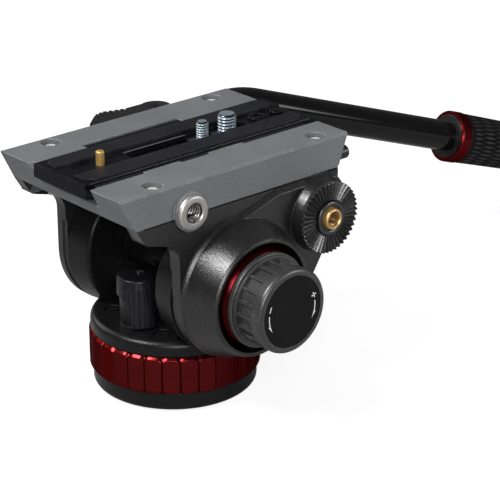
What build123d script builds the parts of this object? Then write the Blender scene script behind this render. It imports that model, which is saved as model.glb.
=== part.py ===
from build123d import *
import os
from math import cos, pi, radians, sin, tan

os.makedirs("parts", exist_ok=True)

# Fluid video head with a flat base, in millimetres. Z is up and zero is the underside of the base.
# The pan axis is the Z axis. The lens looks along -Y and the drag knob is on the +X side.

# Clearances that many pieces share
run_gap = 0.3  # between surfaces that move past each other
shaft_gap = 0.05  # radial, between a shaft and its bush
seat_gap = 0.02  # between a piece and the pocket that holds it still
overrun = 1.0  # how far a cutting body passes the surface that it cuts

# Threads, as the radius of the tapped wall or of the plain shank
base_thread_bore = 3.97
base_thread_length = 13.5
quarter_screw_radius = 3.1
wide_screw_radius = 4.7
bar_stud_radius = 3.0

# Base disc, which the tripod screws into
base_radius = 42.0
base_height = 9.8
base_edge_round = 3.0
base_hub_radius = 30.0
base_hub_top = 22.0
insert_radius = 8.0
insert_flange_radius = 12.0
insert_flange_height = 2.0
base_screw_circle_radius = 20.0
base_screw_head_radius = 3.6
base_screw_head_height = 3.2
base_screw_count = 3

# Spindle that the head pans on
spindle_radius = 9.0
spindle_flange_radius = 12.0
spindle_flange_height = 5.0
spindle_nut_radius = 11.4
spindle_nut_height = 4.0
pan_bush_radius = 11.2
pan_hub_radius = 13.4
disc_outer_radius = 18.4
disc_thickness = 2.0
disc_count = 3

# Ribbed pan drag ring
ring_radius = 44.0
ring_bottom = 10.2
ring_top = 30.0
ring_inner_radius = 36.6
ring_land_count = 30
ring_groove_radius = 1.0
ring_groove_depth = 0.75
ring_chamfer = 1.6
ring_foot_chamfer = 0.5

# Pan housing: drum, floor and the two arms of the yoke
drum_radius = 43.0
drum_foot_radius = 42.6
drum_flat = 41.1
floor_height = 38.0
floor_round = 3.6
skirt_radius = 36.2
skirt_inner_radius = 30.4
skirt_bottom = 12.0
tilt_height = 65.7
wing_rise = 61.5
platform_depth = 16.2
rosette_rise = 25.3
wing_top = tilt_height + wing_rise
wing_bottom = wing_top - platform_depth
rosette_height = tilt_height + rosette_rise
arm_radius = 36.0
arm_inner_edge_radius = 34.2
arm_inner = 26.0
arm_outer = 41.0
arm_edge_round = 2.6
arm_foot_height = 37.0
arm_web_half = 19.5
pocket_radius = 28.0
pocket_floor = 30.0
centre_tube_radius = 10.6
bush_radius = 9.6
bush_flange_radius = 13.0
bush_flange_thickness = 1.0
floor_screw_side = 19.5
floor_screw_reach = 24.5
floor_screw_head_radius = 3.4
floor_screw_head_height = 3.6
floor_screw_well_radius = 4.4
floor_screw_well_depth = 4.4
hex_key_radius = 1.7
hex_key_depth = 2.0

# Bubble level at the back of the pan housing
level_reach = 28.5
level_radius = 8.6
level_height = 5.6
vial_radius = 6.0
vial_height = 4.6
level_ring_radius = 7.4

# Pan lock lever in front of the yoke
lock_reach = 23.0
lock_radius = 11.0
lock_top = 63.8
lock_bottom = 46.4
lock_boss_radius = 9.8
lock_boss_top = 46.0
lock_tab_radius = 14.3
lock_tab_inner = 10.3
lock_tab_shoulder = 13.2
lock_tab_bottom = 39.0
lock_tab_top = 60.0
lock_tab_angle = -42.0  # where the tab points, from +X towards +Y
lock_tab_spread = 78.0
lock_flute_radius = 0.9
lock_flute_count = 26
lock_hole_radius = 4.0
lock_hole_depth = 3.4
lock_screw_radius = 3.4
lock_screw_height = 2.2
lock_shaft_radius = 3.0
lock_shaft_bottom = 31.2
lock_edge_round = 1.2
shoe_radius = 4.4
shoe_height = 7.4

# Cheeks: the two side castings that tilt
cheek_inner = 41.5
web_inner = 44.5
relief_radius = 35.2
relief_start = -93.0
relief_end = 12.0
front_relief_spread = 90.0
front_relief_rise = 17.0
cheek_outer = 48.5
cheek_top = wing_bottom
cheek_front = 61.3
cheek_rear = 67.3
cheek_disc_radius = 36.0
cheek_nose_reach = 56.0
cheek_nose_drop = 8.7
cheek_notch_drop = 14.4
cheek_tail_drop = 7.0
cheek_tail_height = rosette_height - cheek_tail_drop
cheek_heel_reach = 50.0
cheek_heel_drop = 8.7
cheek_heel_height = tilt_height - cheek_heel_drop
cheek_heel_angle = -55.0
nose_round = 4.0
notch_round = 11.0
heel_round = 16.0
tail_round = 12.0
flange_inner = 34.0
flange_depth = 7.6
flange_front = 57.0
flange_rear = 65.0
pad_height = 3.0
pad_chamfer = 2.4
pad_radius = 36.0
far_pad_radius = 33.6
pad_slope = 16.5
pad_ridge_reach = 24.5
pad_inset = 0.6

# Flared boss round the drag knob
boss_foot_radius = 35.6
boss_waist_radius = 32.8
boss_waist_share = 0.45
boss_rim_radius = 30.2
boss_mouth_radius = 27.9
boss_face = 67.3
boss_floor = 58.0
boss_rim_round = 1.0

# Boss on the far cheek, under the tilt lock
far_boss_radius = 25.0
far_boss_foot_radius = 29.0
far_boss_face = 54.5

# Tilt axle with the drag pack and the counterbalance spring
axle_radius = 8.0
axle_near_end = 49.5
axle_far_end = 50.5
rotor_radius = 25.0
rotor_hub_radius = 10.6
plate_thickness = 1.2
plate_pitch = 1.7
rotor_count = 3
stator_bore_radius = 11.2
stator_ring_radius = 25.6
spring_strip = 1.0
spring_pitch = 3.2
spring_turns = 4
spring_start_radius = 12.4
spring_width = 7.6
arbor_radius = 11.0

# Rosettes for the pan bar
rosette_reach = 52.0
rosette_face = 60.0
rosette_radius = 18.5
rosette_thickness = 3.2
rosette_hub_radius = 9.6
rosette_hub_rise = 0.7
rosette_recess = 1.7
rosette_teeth = 42
tooth_fill_share = 0.94
tooth_rise_share = 0.5
barrel_foot_radius = 21.4
barrel_waist_radius = 19.2
barrel_radius = 17.4
brass_radius = 5.35
brass_rise = 2.5
brass_bore_radius = 3.3
brass_length = 18.0

# Red trim ring round the drag knob
trim_radius = 27.5
trim_lip_radius = 25.2
trim_bore_radius = 24.4
trim_shoulder = 64.4
trim_face = 67.2
trim_floor_gap = 0.2

# Drag knob
knob_flange_radius = 24.0
knob_flange_back = 68.4
knob_flange_front = 71.4
knob_step_radius = 22.4
knob_step_front = 72.6
knob_band_radius = 19.7
knob_rib_radius = 21.2
knob_rib_width = 1.5
knob_rib_count = 20
knob_rib_front = 83.2
knob_lip_radius = 21.5
knob_lip_back = 82.4
knob_face = 88.4
knob_lip_round = 2.3
knob_label_radius = 18.2
knob_label_depth = 1.2
knob_core_radius = 14.0
knob_shaft_radius = 5.0
knob_shaft_end = 50.2

# Tilt lock lever on the far side
tilt_lock_radius = 12.0
tilt_lock_face = 66.0
tilt_lock_arm_length = 34.0
tilt_lock_arm_radius = 5.6
tilt_lock_arm_angle = 310.0
tilt_lock_arm_thickness = 7.0
tilt_lock_shaft_radius = 4.0
tilt_lock_shaft_end = 51.0
tilt_lock_screw_radius = 3.2
tilt_lock_screw_height = 2.4

# Platform with the two wings and the channel for the sliding plate
wing_top_half = 46.8
wing_side_lean = 1.5
wing_bottom_half = wing_top_half + wing_side_lean
wing_front_top = 70.0
wing_front_bottom = 61.3
wing_rear_top = 75.4
wing_rear_bottom = 67.8
wing_edge_round = 0.9
wing_heel_round = 3.0
channel_depth = 6.8
channel_floor = wing_top - channel_depth
floor_lip_drop = 3.1
floor_lip_front = 64.68
floor_lip_back = 61.2
channel_half = 24.8
channel_mouth_half = 25.6
channel_mouth_length = 5.0
far_lip_half = 20.7
tongue_rise = 1.9
tongue_length = 22.2
tongue_fronts = (-36.5, 3.6)
window_front = 36.0
window_rear = 25.0
window_half = 26.2
wing_screw_side = 39.7
wing_screw_centre = 7.5
wing_screw_spacing = 104.1
wing_screw_hole_radius = 5.04
wing_screw_hole_depth = 5.6
wing_screw_head_radius = 4.3
wing_screw_head_height = 3.8
wing_screw_shank_radius = 2.5
wing_screw_shank_length = 12.0
wing_screw_key_radius = 2.0

# Threaded accessory socket in the near wing
socket_reach = 29.0
socket_depth = 14.5
socket_height = wing_top - socket_depth
socket_collar_radius = 9.7
socket_collar_rise = 1.6
socket_collar_face = wing_bottom_half + socket_collar_rise
socket_collar_length = 6.9
socket_collar_back = socket_collar_face - socket_collar_length
socket_radius = 9.0
socket_rise = 2.1
socket_face = socket_collar_face + socket_rise
socket_length = 9.8
socket_round = 1.2
socket_clearance = 0.5

# Rail, jaw and lever that hold the sliding plate
rail_sink = 0.5
rail_top = wing_top - rail_sink
rail_front = 64.0
rail_rear = 68.0
jaw_clearance = 0.3
jaw_travel = 0.7
jaw_stem_radius = 2.0
jaw_stem_reach = 19.0
jaw_stem_depth = 4.4
jaw_stem_height = wing_top - jaw_stem_depth
jaw_stem_inset = 0.7
jaw_stem_end = wing_bottom_half - jaw_stem_inset
clamp_lever_depth = 3.8
clamp_lever_thickness = 5.0
clamp_lever_top = wing_top - clamp_lever_depth
clamp_lever_bottom = clamp_lever_top - clamp_lever_thickness
clamp_pivot_out = 9.1
clamp_pivot_side = wing_bottom_half + clamp_pivot_out
clamp_pivot_reach = 36.6
clamp_hub_radius = 8.0
clamp_arm_gap = 1.9
clamp_arm_inner = wing_bottom_half + clamp_arm_gap
clamp_arm_width = 14.3
clamp_arm_outer = clamp_arm_inner + clamp_arm_width
clamp_thumb_front = 8.1
clamp_thumb_setback = 6.2
clamp_thumb_nose = clamp_arm_inner + clamp_thumb_setback
clamp_thumb_swell = 2.7
clamp_thumb_side = clamp_arm_outer + clamp_thumb_swell
clamp_thumb_turn = 4.2
clamp_thumb_crest = 1.2
clamp_thumb_peak = clamp_thumb_side + clamp_thumb_crest
clamp_thumb_reach = 9.4
clamp_thumb_end = 22.0
clamp_thumb_round = 4.0
clamp_groove_width = 1.3
clamp_groove_depth = 1.1
clamp_groove_inset = 3.5
clamp_groove_inner = clamp_arm_outer - clamp_groove_inset
clamp_groove_pitch = 3.0
clamp_groove_front = 2.6
clamp_groove_count = 7
clamp_screw_radius = 3.6
clamp_screw_height = 1.6
clamp_shank_radius = 2.6
lug_radius = 7.4
lug_lift = 0.4
lug_bottom = wing_bottom + lug_lift

# Plate release button at the back of the platform
button_side = 42.6
button_lift = 4.4
button_height = wing_bottom + button_lift
button_radius = 3.5
button_length = 9.0
button_rise = 2.4
button_stem_radius = 1.8
button_stem_length = 3.2

# Sliding plate for the camera
plate_rise = 0.5
plate_lift = 0.4
plate_top = wing_top + plate_rise
plate_bottom = channel_floor + plate_lift
plate_top_half = 20.0
plate_bottom_half = 22.6
plate_bevel_depth = 2.2
plate_bevel_height = 2.6
plate_bevel_top = wing_top - plate_bevel_depth
plate_bevel_bottom = plate_bevel_top - plate_bevel_height
plate_front = 69.0
plate_rear = 77.6
plate_end_chamfer = 2.4
groove_half = 6.6
groove_depth = 1.2
groove_front = 60.0
slot_half = 5.0
slot_front = 27.0
slot_rear = 47.0
slot_ledge_half = 7.4
slot_ledge_thickness = 3.1
slot_ledge_height = plate_top - slot_ledge_thickness
strip_inner = 7.5
strip_outer = 18.4
strip_rise = 0.8
strip_top = plate_top + strip_rise
strip_sink = 0.8
strip_front = 65.4
strip_rear = 73.6
strip_nose = 4.6
pin_reach = 44.4
pin_radius = 2.1
pin_rise = 5.9
pin_depth = 6.0
pin_round = 0.7
small_screw_reach = 19.8
wide_screw_reach = 36.0
small_screw_rise = 6.1
wide_screw_rise = 6.5
screw_flange_radius = 7.0
screw_flange_height = 1.6
carrier_height = 1.5
carrier_half = 7.1
carrier_gap = 0.15
small_carrier_length = 12.0
wide_carrier_length = 14.6
stop_ring_reach = 56.4
stop_ring_radius = 5.2
stop_ring_bore = 2.9
stop_ring_rise = 0.5
stop_screw_radius = 2.7
stop_stud_reach = 69.0
stop_stud_radius = 3.5
stop_stud_rise = 0.9
stop_stud_round = 1.0
stop_depth = 5.0

# Pan bar with its clamp
bar_plane = 70.9
bar_rise_angle = 25.25
bar_corner_run = 42.0
bar_radius = 9.1
bar_wall = 1.6
bar_bend_radius = 55.0
bar_fall_angle = 18.3
bar_turn_in_angle = 8.6
bar_straight = 167.2
bar_start = 20.0
clamp_body_radius = 14.2
clamp_body_outer = 82.0
clamp_sleeve_radius = 12.4
clamp_sleeve_length = 23.6
clamp_neck_length = 19.2
clamp_sleeve_round = 1.2
clamp_bore_radius = 3.4
rosette_parting = 0.3
grip_ring_radius = 15.4
grip_ring_length = 7.2
grip_ring_chamfer = 0.9
grip_collar_radius = 13.2
grip_collar_sink = 1.2
grip_radius = 14.7
grip_length = 132.0
grip_waist_radius = 14.0
cap_radius = 14.9
cap_length = 5.0
cap_plug_length = 8.0
cap_round = 2.2

# Knob that tightens the pan bar clamp
wing_knob_radius = 13.0
wing_knob_back = 82.4
wing_knob_face = 96.0
wing_knob_lobes = 6
wing_knob_lobe_radius = 3.6
wing_knob_round = 1.4
stud_inner_end = 50.6


def rod_x(radius, x_from, x_to, y=0, z=0):
    """Round bar along X."""
    return Pos((x_from + x_to) / 2, y, z) * Rot(0, 90, 0) * Cylinder(radius, abs(x_to - x_from))


def rod_y(radius, y_from, y_to, x=0, z=0):
    """Round bar along Y."""
    return Pos(x, (y_from + y_to) / 2, z) * Rot(90, 0, 0) * Cylinder(radius, abs(y_to - y_from))


def rod_z(radius, z_from, z_to, x=0, y=0):
    """Round bar along Z."""
    return Pos(x, y, (z_from + z_to) / 2) * Cylinder(radius, abs(z_to - z_from))


def hex_z(radius, z_from, z_to, x=0, y=0):
    """Six-sided bar along Z."""
    return Pos(x, y, z_from) * extrude(RegularPolygon(radius, 6), z_to - z_from)


def block(x_from, x_to, y_from, y_to, z_from, z_to):
    """Box between two corners."""
    middle = Pos((x_from + x_to) / 2, (y_from + y_to) / 2, (z_from + z_to) / 2)
    return middle * Box(abs(x_to - x_from), abs(y_to - y_from), abs(z_to - z_from))


def outline(points, rounds=None):
    """Closed flat outline; rounds maps a corner's number to its radius."""
    face = make_face(Polyline(*points, close=True))
    for number, radius in (rounds or {}).items():
        corner = face.vertices().sort_by_distance(Vector(*points[number]))[0]
        face = fillet(corner, radius)
    return face


def turned_z(points, rounds=None):
    """Body of revolution about Z from points of radius and height."""
    return revolve(Plane.XZ * outline(points, rounds), Axis.Z)


def turned_x(points, rounds=None, y=0, z=0):
    """Body of revolution about a line along X from points of X and radius."""
    return Pos(0, y, z) * revolve(outline(points, rounds), Axis.X)


def prism_x(face, x_from, x_to):
    """Outline in Y and Z, made solid between two places on X."""
    low, high = min(x_from, x_to), max(x_from, x_to)
    return Pos(low, 0, 0) * extrude(Plane.YZ * face, high - low)


def prism_y(face, y_from, y_to):
    """Outline in X and Z, made solid between two places on Y."""
    return Pos(0, y_to, 0) * extrude(Plane.XZ * face, y_to - y_from)


def far_side(solid):
    """The same piece on the -X side."""
    return mirror(solid, about=Plane.YZ)


def polar(radius, degrees_from_x):
    """Point on a circle."""
    return radius * cos(radians(degrees_from_x)), radius * sin(radians(degrees_from_x))


def save(name, *solids):
    """Write one node, whose solids stay separate where more than one is given."""
    body = solids[0] if len(solids) == 1 else Compound(children=list(solids))
    export_step(body, f"parts/{name}.step")


def base_disc():
    """Round foot with the hub that stands inside the drag ring."""
    body = turned_z(
        [(0, 0), (base_radius, 0), (base_radius, base_height), (base_hub_radius, base_height),
         (base_hub_radius, base_hub_top), (0, base_hub_top)],
        {1: base_edge_round},
    )
    body -= rod_z(insert_radius, -overrun, base_hub_top + overrun)
    body -= rod_z(insert_flange_radius, base_thread_length - insert_flange_height, base_hub_top + overrun)
    for x, y in base_screw_places():
        body -= rod_z(base_screw_head_radius, base_hub_top - base_screw_head_height,
                      base_hub_top + overrun, x, y)
    return body


def base_screw_places():
    return [polar(base_screw_circle_radius, 90 + 360 * n / base_screw_count) for n in range(base_screw_count)]


def base_insert():
    """Steel insert with the tapped hole for the tripod screw."""
    body = rod_z(insert_radius, 0, base_thread_length)
    body += rod_z(insert_flange_radius, base_thread_length - insert_flange_height, base_thread_length)
    return body - rod_z(base_thread_bore, -overrun, base_thread_length + overrun)


def base_screws():
    """Socket screws that hold the friction hub."""
    screws = []
    for x, y in base_screw_places():
        top = base_hub_top
        screw = rod_z(base_screw_head_radius, top - base_screw_head_height, top - seat_gap, x, y)
        screws.append(screw - hex_z(hex_key_radius, top - hex_key_depth, top + overrun, x, y))
    return screws


def spindle():
    """Steel spindle, seated on the insert."""
    body = rod_z(spindle_radius, base_thread_length, floor_height + run_gap + spindle_nut_height)
    return body + rod_z(spindle_flange_radius, base_thread_length, base_thread_length + spindle_flange_height)


def spindle_nut():
    """Hexagonal nut that holds the pan housing down."""
    low = floor_height + run_gap
    body = hex_z(spindle_nut_radius, low, low + spindle_nut_height)
    return body - rod_z(spindle_radius, low - overrun, low + spindle_nut_height + overrun)


def pan_discs():
    """Friction discs between the base hub and the floor of the pan housing."""
    room = ring_top + run_gap - base_hub_top
    step = room / disc_count
    discs = []
    for n in range(disc_count):
        low = base_hub_top + n * step
        disc = rod_z(disc_outer_radius, low, low + disc_thickness)
        discs.append(disc - rod_z(pan_hub_radius + run_gap, low - overrun, low + disc_thickness + overrun))
    return discs


def drag_ring():
    """Anodised ring with thirty lands, parted by round grooves that scallop its top chamfer."""
    body = turned_z(
        [(ring_inner_radius, ring_bottom), (ring_radius - ring_foot_chamfer, ring_bottom),
         (ring_radius, ring_bottom + ring_foot_chamfer), (ring_radius, ring_top - ring_chamfer),
         (ring_radius - ring_chamfer, ring_top), (ring_inner_radius, ring_top)]
    )
    cutter = rod_z(ring_groove_radius, ring_bottom - overrun, ring_top + overrun,
                   ring_radius + ring_groove_radius - ring_groove_depth)
    chamfer_reach = ring_radius - ring_chamfer / 2
    cutter += rod_z(ring_chamfer, ring_top - ring_chamfer, ring_top + overrun, chamfer_reach)
    step = 360 / ring_land_count
    return body - [Rot(0, 0, n * step) * cutter for n in range(ring_land_count)]


def arm_solid():
    """One arm of the yoke: a disc on the tilt axis that stands on the drum, with a web down to it."""
    disc = turned_x(
        [(arm_inner, 0), (arm_inner, arm_inner_edge_radius), (arm_outer, arm_radius), (arm_outer, 0)],
        {1: arm_edge_round},
        z=tilt_height,
    )
    reach = arm_outer + overrun
    upper = disc & block(0, reach, -arm_radius - overrun, arm_radius + overrun,
                         arm_foot_height, tilt_height + arm_radius + overrun)
    web = block(arm_inner + arm_edge_round, arm_outer, -arm_web_half, arm_web_half,
                arm_foot_height, tilt_height)
    return upper + web


def pan_housing():
    """Drum, yoke arms and centre tube in one casting."""
    low = ring_top + run_gap
    body = turned_z(
        [(0, low), (drum_foot_radius, low), (drum_radius, low + run_gap), (drum_radius, floor_height),
         (0, floor_height)],
        {3: floor_round},
    )
    for side in (-1, 1):
        body -= block(side * drum_flat, side * (drum_radius + overrun), -drum_radius, drum_radius,
                      low - overrun, floor_height + overrun)
    near_arm = arm_solid()
    body += near_arm
    body += far_side(near_arm)
    body += rod_x(centre_tube_radius, -arm_inner - overrun, arm_inner + overrun, z=tilt_height)
    body += rod_z(skirt_radius, skirt_bottom, low + overrun) - rod_z(
        skirt_inner_radius, skirt_bottom - overrun, low)
    body += rod_z(pan_hub_radius, base_hub_top + run_gap, low + overrun)
    body += rod_z(lock_boss_radius, floor_height - overrun, lock_boss_top, 0, -lock_reach)
    body += rod_z(level_radius, floor_height - overrun, floor_height + level_height, 0, level_reach)
    for side in (-1, 1):
        body -= rod_x(pocket_radius, side * pocket_floor, side * (arm_outer + overrun), z=tilt_height)
        body -= rod_x(bush_radius, side * (arm_inner - bush_flange_thickness),
                      side * (pocket_floor + overrun), z=tilt_height)
        body -= rod_x(bush_flange_radius, side * (pocket_floor - bush_flange_thickness),
                      side * (pocket_floor + overrun), z=tilt_height)
    body -= rod_x(axle_radius + run_gap, -pocket_floor, pocket_floor, z=tilt_height)
    body -= rod_z(pan_bush_radius, base_hub_top - overrun, floor_height + overrun)
    body -= rod_z(lock_shaft_radius + shaft_gap, lock_shaft_bottom - run_gap, lock_boss_top + overrun,
                  0, -lock_reach)
    body -= rod_z(shoe_radius, base_hub_top, base_hub_top + run_gap + shoe_height, 0, -lock_reach)
    body -= rod_z(level_ring_radius, floor_height + overrun, floor_height + level_height + overrun,
                  0, level_reach)
    for x, y in floor_screw_places():
        body -= rod_z(floor_screw_well_radius, floor_height - floor_screw_well_depth,
                      floor_height + overrun, x, y)
    return body


def floor_screw_places():
    return [(x, y) for x in (-floor_screw_side, floor_screw_side)
            for y in (-floor_screw_reach, floor_screw_reach)]


def floor_screws():
    """Four socket screws sunk in the floor of the pan housing."""
    low = floor_height - floor_screw_well_depth
    screws = []
    for x, y in floor_screw_places():
        screw = rod_z(floor_screw_head_radius, low, low + floor_screw_head_height, x, y)
        top = low + floor_screw_head_height
        screws.append(screw - hex_z(hex_key_radius, top - hex_key_depth, top + overrun, x, y))
    return screws


def pan_bush():
    """Bronze bush between the spindle and the pan housing."""
    low = base_hub_top + run_gap
    body = rod_z(pan_bush_radius, low, floor_height)
    return body - rod_z(spindle_radius + shaft_gap, low - overrun, floor_height + overrun)


def brake_shoe():
    """Shoe that the pan lock presses on the base hub."""
    low = base_hub_top + run_gap
    return rod_z(shoe_radius, low, low + shoe_height, 0, -lock_reach)


def tilt_bush():
    """Flanged bronze bush of one arm, on the +X side."""
    body = rod_x(bush_radius, arm_inner - bush_flange_thickness, pocket_floor, z=tilt_height)
    body += rod_x(bush_flange_radius, pocket_floor - bush_flange_thickness, pocket_floor, z=tilt_height)
    return body - rod_x(axle_radius + shaft_gap, 0, pocket_floor + overrun, z=tilt_height)


def level_ring():
    """Bezel that holds the bubble level."""
    low = floor_height + overrun
    high = floor_height + level_height + bush_flange_thickness
    body = rod_z(level_ring_radius, low, high, 0, level_reach)
    return body - rod_z(vial_radius, low + overrun, high + overrun, 0, level_reach)


def level_vial():
    """Round glass vial of the bubble level."""
    low = floor_height + overrun + overrun
    return rod_z(vial_radius, low, low + vial_height, 0, level_reach)


def lock_shaft():
    """Threaded shaft of the pan lock."""
    return rod_z(lock_shaft_radius, lock_shaft_bottom, lock_top - lock_hole_depth, 0, -lock_reach)


def lock_lever():
    """Fluted knob of the pan lock, with a tab that hangs over the front of its boss."""
    knob = fillet(Cylinder(lock_radius, lock_top - lock_bottom).edges().group_by(Axis.Z)[-1],
                  lock_edge_round)
    body = Pos(0, 0, (lock_top + lock_bottom) / 2) * knob
    sector = outline([(0, 0), polar(2 * lock_tab_radius, -lock_tab_spread / 2),
                      polar(2 * lock_tab_radius, lock_tab_spread / 2)])
    wedge = Pos(0, 0, lock_tab_bottom) * extrude(sector, lock_tab_top - lock_tab_bottom)
    tab = turned_z(
        [(lock_tab_inner, lock_tab_bottom), (lock_tab_radius - lock_edge_round, lock_tab_bottom),
         (lock_tab_radius, lock_tab_bottom + lock_edge_round),
         (lock_tab_shoulder, lock_tab_top - lock_edge_round),
         (lock_tab_shoulder - lock_edge_round, lock_tab_top), (lock_tab_inner, lock_tab_top)]
    )
    body += Rot(0, 0, lock_tab_angle) * (tab & wedge)
    flute = rod_z(lock_flute_radius, lock_tab_bottom - overrun, lock_top - lock_edge_round,
                  lock_radius + lock_flute_radius / 2)
    step = 360 / lock_flute_count
    body -= [Rot(0, 0, n * step) * flute for n in range(lock_flute_count)
             if abs((n * step - lock_tab_angle + 180) % 360 - 180) > lock_tab_spread / 2]
    tab_flute = rod_z(lock_flute_radius, lock_tab_bottom - overrun, lock_tab_top + overrun,
                      lock_tab_radius)
    body -= [Rot(0, 0, n * step) * tab_flute for n in range(lock_flute_count)
             if abs((n * step - lock_tab_angle + 180) % 360 - 180) < lock_tab_spread / 2]
    body -= rod_z(lock_hole_radius, lock_top - lock_hole_depth, lock_top + overrun)
    body -= rod_z(lock_shaft_radius, lock_bottom - overrun, lock_top)
    return Pos(0, -lock_reach, 0) * body


def lock_screw():
    """Screw in the top of the pan lock."""
    low = lock_top - lock_hole_depth
    body = rod_z(lock_screw_radius, low, low + lock_screw_height, 0, -lock_reach)
    top = low + lock_screw_height
    return body - hex_z(hex_key_radius, top - lock_screw_height / 2, top + overrun, 0, -lock_reach)


def cheek_face():
    """Side outline of a cheek: platform flange, throat, disc about the tilt axis and slanting heel."""
    heel = polar(cheek_disc_radius, cheek_heel_angle)
    heel = (heel[0], heel[1] + tilt_height)
    points = [
        (-cheek_front, cheek_top), (-cheek_nose_reach, cheek_top - cheek_nose_drop),
        (-cheek_disc_radius, cheek_top - cheek_notch_drop), (-cheek_disc_radius, tilt_height), heel,
        (cheek_heel_reach, cheek_heel_height), (cheek_rear, cheek_tail_height), (cheek_rear, cheek_top),
    ]
    face = outline(points, {1: nose_round, 2: notch_round, 5: heel_round, 6: tail_round})
    return face + Pos(0, tilt_height) * Circle(cheek_disc_radius)


def pad_face(radius):
    """Raised part of a cheek, from the drag boss up to the platform and back to the rosette."""
    touch = polar(radius, 90 + pad_slope)
    touch = (touch[0], touch[1] + tilt_height)
    ridge = touch[1] + (pad_ridge_reach - touch[0]) * tan(radians(pad_slope))
    heel = polar(radius, cheek_heel_angle)
    top = min(ridge, cheek_top - pad_inset)
    points = [
        touch, (pad_ridge_reach, top), (cheek_rear - pad_inset, cheek_top - pad_inset),
        (cheek_rear - pad_inset, cheek_tail_height), (cheek_heel_reach - pad_inset, cheek_heel_height),
        (heel[0], heel[1] + tilt_height),
    ]
    face = outline(points, {3: tail_round, 4: heel_round})
    return face + Pos(0, tilt_height) * Circle(radius)


def cheek_blank(radius):
    """Plate, inward flange and raised pad that both cheeks share, on the +X side."""
    body = prism_x(cheek_face(), cheek_inner, cheek_outer)
    flange = block(flange_inner, cheek_outer, -flange_front, flange_rear,
                   cheek_top - flange_depth, cheek_top)
    slope = outline([(flange_inner - overrun, cheek_top - flange_depth - overrun),
                     (cheek_inner - overrun, cheek_top - flange_depth - overrun),
                     (flange_inner - overrun, cheek_top - overrun)])
    flange -= prism_y(slope, -flange_front - overrun, flange_rear + overrun)
    body += flange
    pad = prism_x(pad_face(radius), cheek_outer - overrun, cheek_outer + pad_height)
    pad = chamfer(pad.faces().sort_by(Axis.X)[-1].edges(), pad_chamfer)
    body += pad
    return body


def wing_screw_rows():
    return (wing_screw_centre - wing_screw_spacing / 2, wing_screw_centre + wing_screw_spacing / 2)


def barrel():
    """Flared seat of a rosette, on the +X side."""
    seat = rosette_face - rosette_thickness
    return turned_x(
        [(web_inner, 0), (web_inner, barrel_radius), (cheek_outer, barrel_foot_radius),
         (cheek_outer + pad_height, barrel_waist_radius), (seat, barrel_radius), (seat, 0)],
        y=rosette_reach, z=rosette_height,
    )


def relief(rim, start, end):
    """Inner layer of a cheek beyond a radius, between two angles about the tilt axis."""
    far = 2 * cheek_rear
    steps = [start + (end - start) * n / 4 for n in range(5)]
    sector = make_face(Polyline((0, 0), *[polar(far, a) for a in steps], close=True))
    return Pos(0, 0, tilt_height) * prism_x(sector - Circle(rim), cheek_inner - overrun, web_inner)


def cheek_trim(body):
    """Cut a cheek clear of the ring and of the wing above it, and bore it for its screws."""
    body -= relief(relief_radius, relief_start, relief_end)
    front_edge = block(cheek_inner - overrun, web_inner, -cheek_rear, -relief_radius,
                       0, tilt_height + front_relief_rise)
    body -= front_edge + relief(relief_radius, relief_start - front_relief_spread, relief_start + overrun)
    for y in wing_screw_rows():
        body -= rod_z(wing_screw_shank_radius, cheek_top - wing_screw_shank_length,
                      cheek_top + overrun, wing_screw_side, y)
    body -= rod_x(brass_radius, rosette_face + brass_rise - brass_length, rosette_face,
                  rosette_reach, rosette_height)
    above = rosette_height + 2 * rosette_radius
    return body - block(cheek_inner, rosette_face, -cheek_front, cheek_rear + cheek_outer, cheek_top, above)


def cheek_right():
    """Near cheek with the flared boss round the drag knob and the seat of the rosette."""
    body = cheek_blank(pad_radius) + barrel()
    foot = cheek_outer + pad_height
    waist_x = foot + (boss_face - foot) * boss_waist_share
    flare = ThreePointArc((foot, boss_foot_radius), (waist_x, boss_waist_radius),
                          (boss_face - boss_rim_round, boss_rim_radius))
    rim = Polyline((boss_face - boss_rim_round, boss_rim_radius),
                   (boss_face, boss_rim_radius - boss_rim_round),
                   (boss_face, 0), (foot, 0), (foot, boss_foot_radius))
    body += Pos(0, 0, tilt_height) * revolve(make_face(flare + rim), Axis.X)
    body -= rod_x(boss_mouth_radius, boss_floor, boss_face + overrun, z=tilt_height)
    body -= rod_x(axle_radius, cheek_inner - overrun, axle_near_end, z=tilt_height)
    body -= rod_x(knob_shaft_radius + shaft_gap, axle_near_end - overrun, boss_floor + overrun,
                  z=tilt_height)
    body -= rod_x(socket_collar_radius + socket_clearance, flange_inner - overrun, socket_face,
                  -socket_reach, socket_height)
    return cheek_trim(body)


def cheek_left():
    """Far cheek with a plain boss under the tilt lock."""
    body = cheek_blank(far_pad_radius) + barrel()
    body += turned_x([(cheek_outer - overrun, 0), (cheek_outer - overrun, far_boss_foot_radius),
                      (cheek_outer + pad_height, far_boss_foot_radius), (far_boss_face, far_boss_radius),
                      (far_boss_face, 0)], z=tilt_height)
    body -= rod_x(axle_radius, cheek_inner - overrun, axle_far_end, z=tilt_height)
    body -= rod_x(tilt_lock_shaft_radius + shaft_gap, axle_far_end - overrun, far_boss_face + overrun,
                  z=tilt_height)
    return far_side(cheek_trim(body))


def axle():
    """Steel axle, held in both cheeks."""
    return rod_x(axle_radius, -axle_far_end, axle_near_end, z=tilt_height)


def drag_rotor():
    """Discs that turn with the axle inside the near arm."""
    body = rod_x(rotor_hub_radius, pocket_floor + run_gap, arm_outer, z=tilt_height)
    for n in range(rotor_count):
        low = pocket_floor + plate_pitch + 2 * n * plate_pitch
        body += rod_x(rotor_radius, low, low + plate_thickness, z=tilt_height)
    return body - rod_x(axle_radius, pocket_floor, arm_outer + overrun, z=tilt_height)


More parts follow.
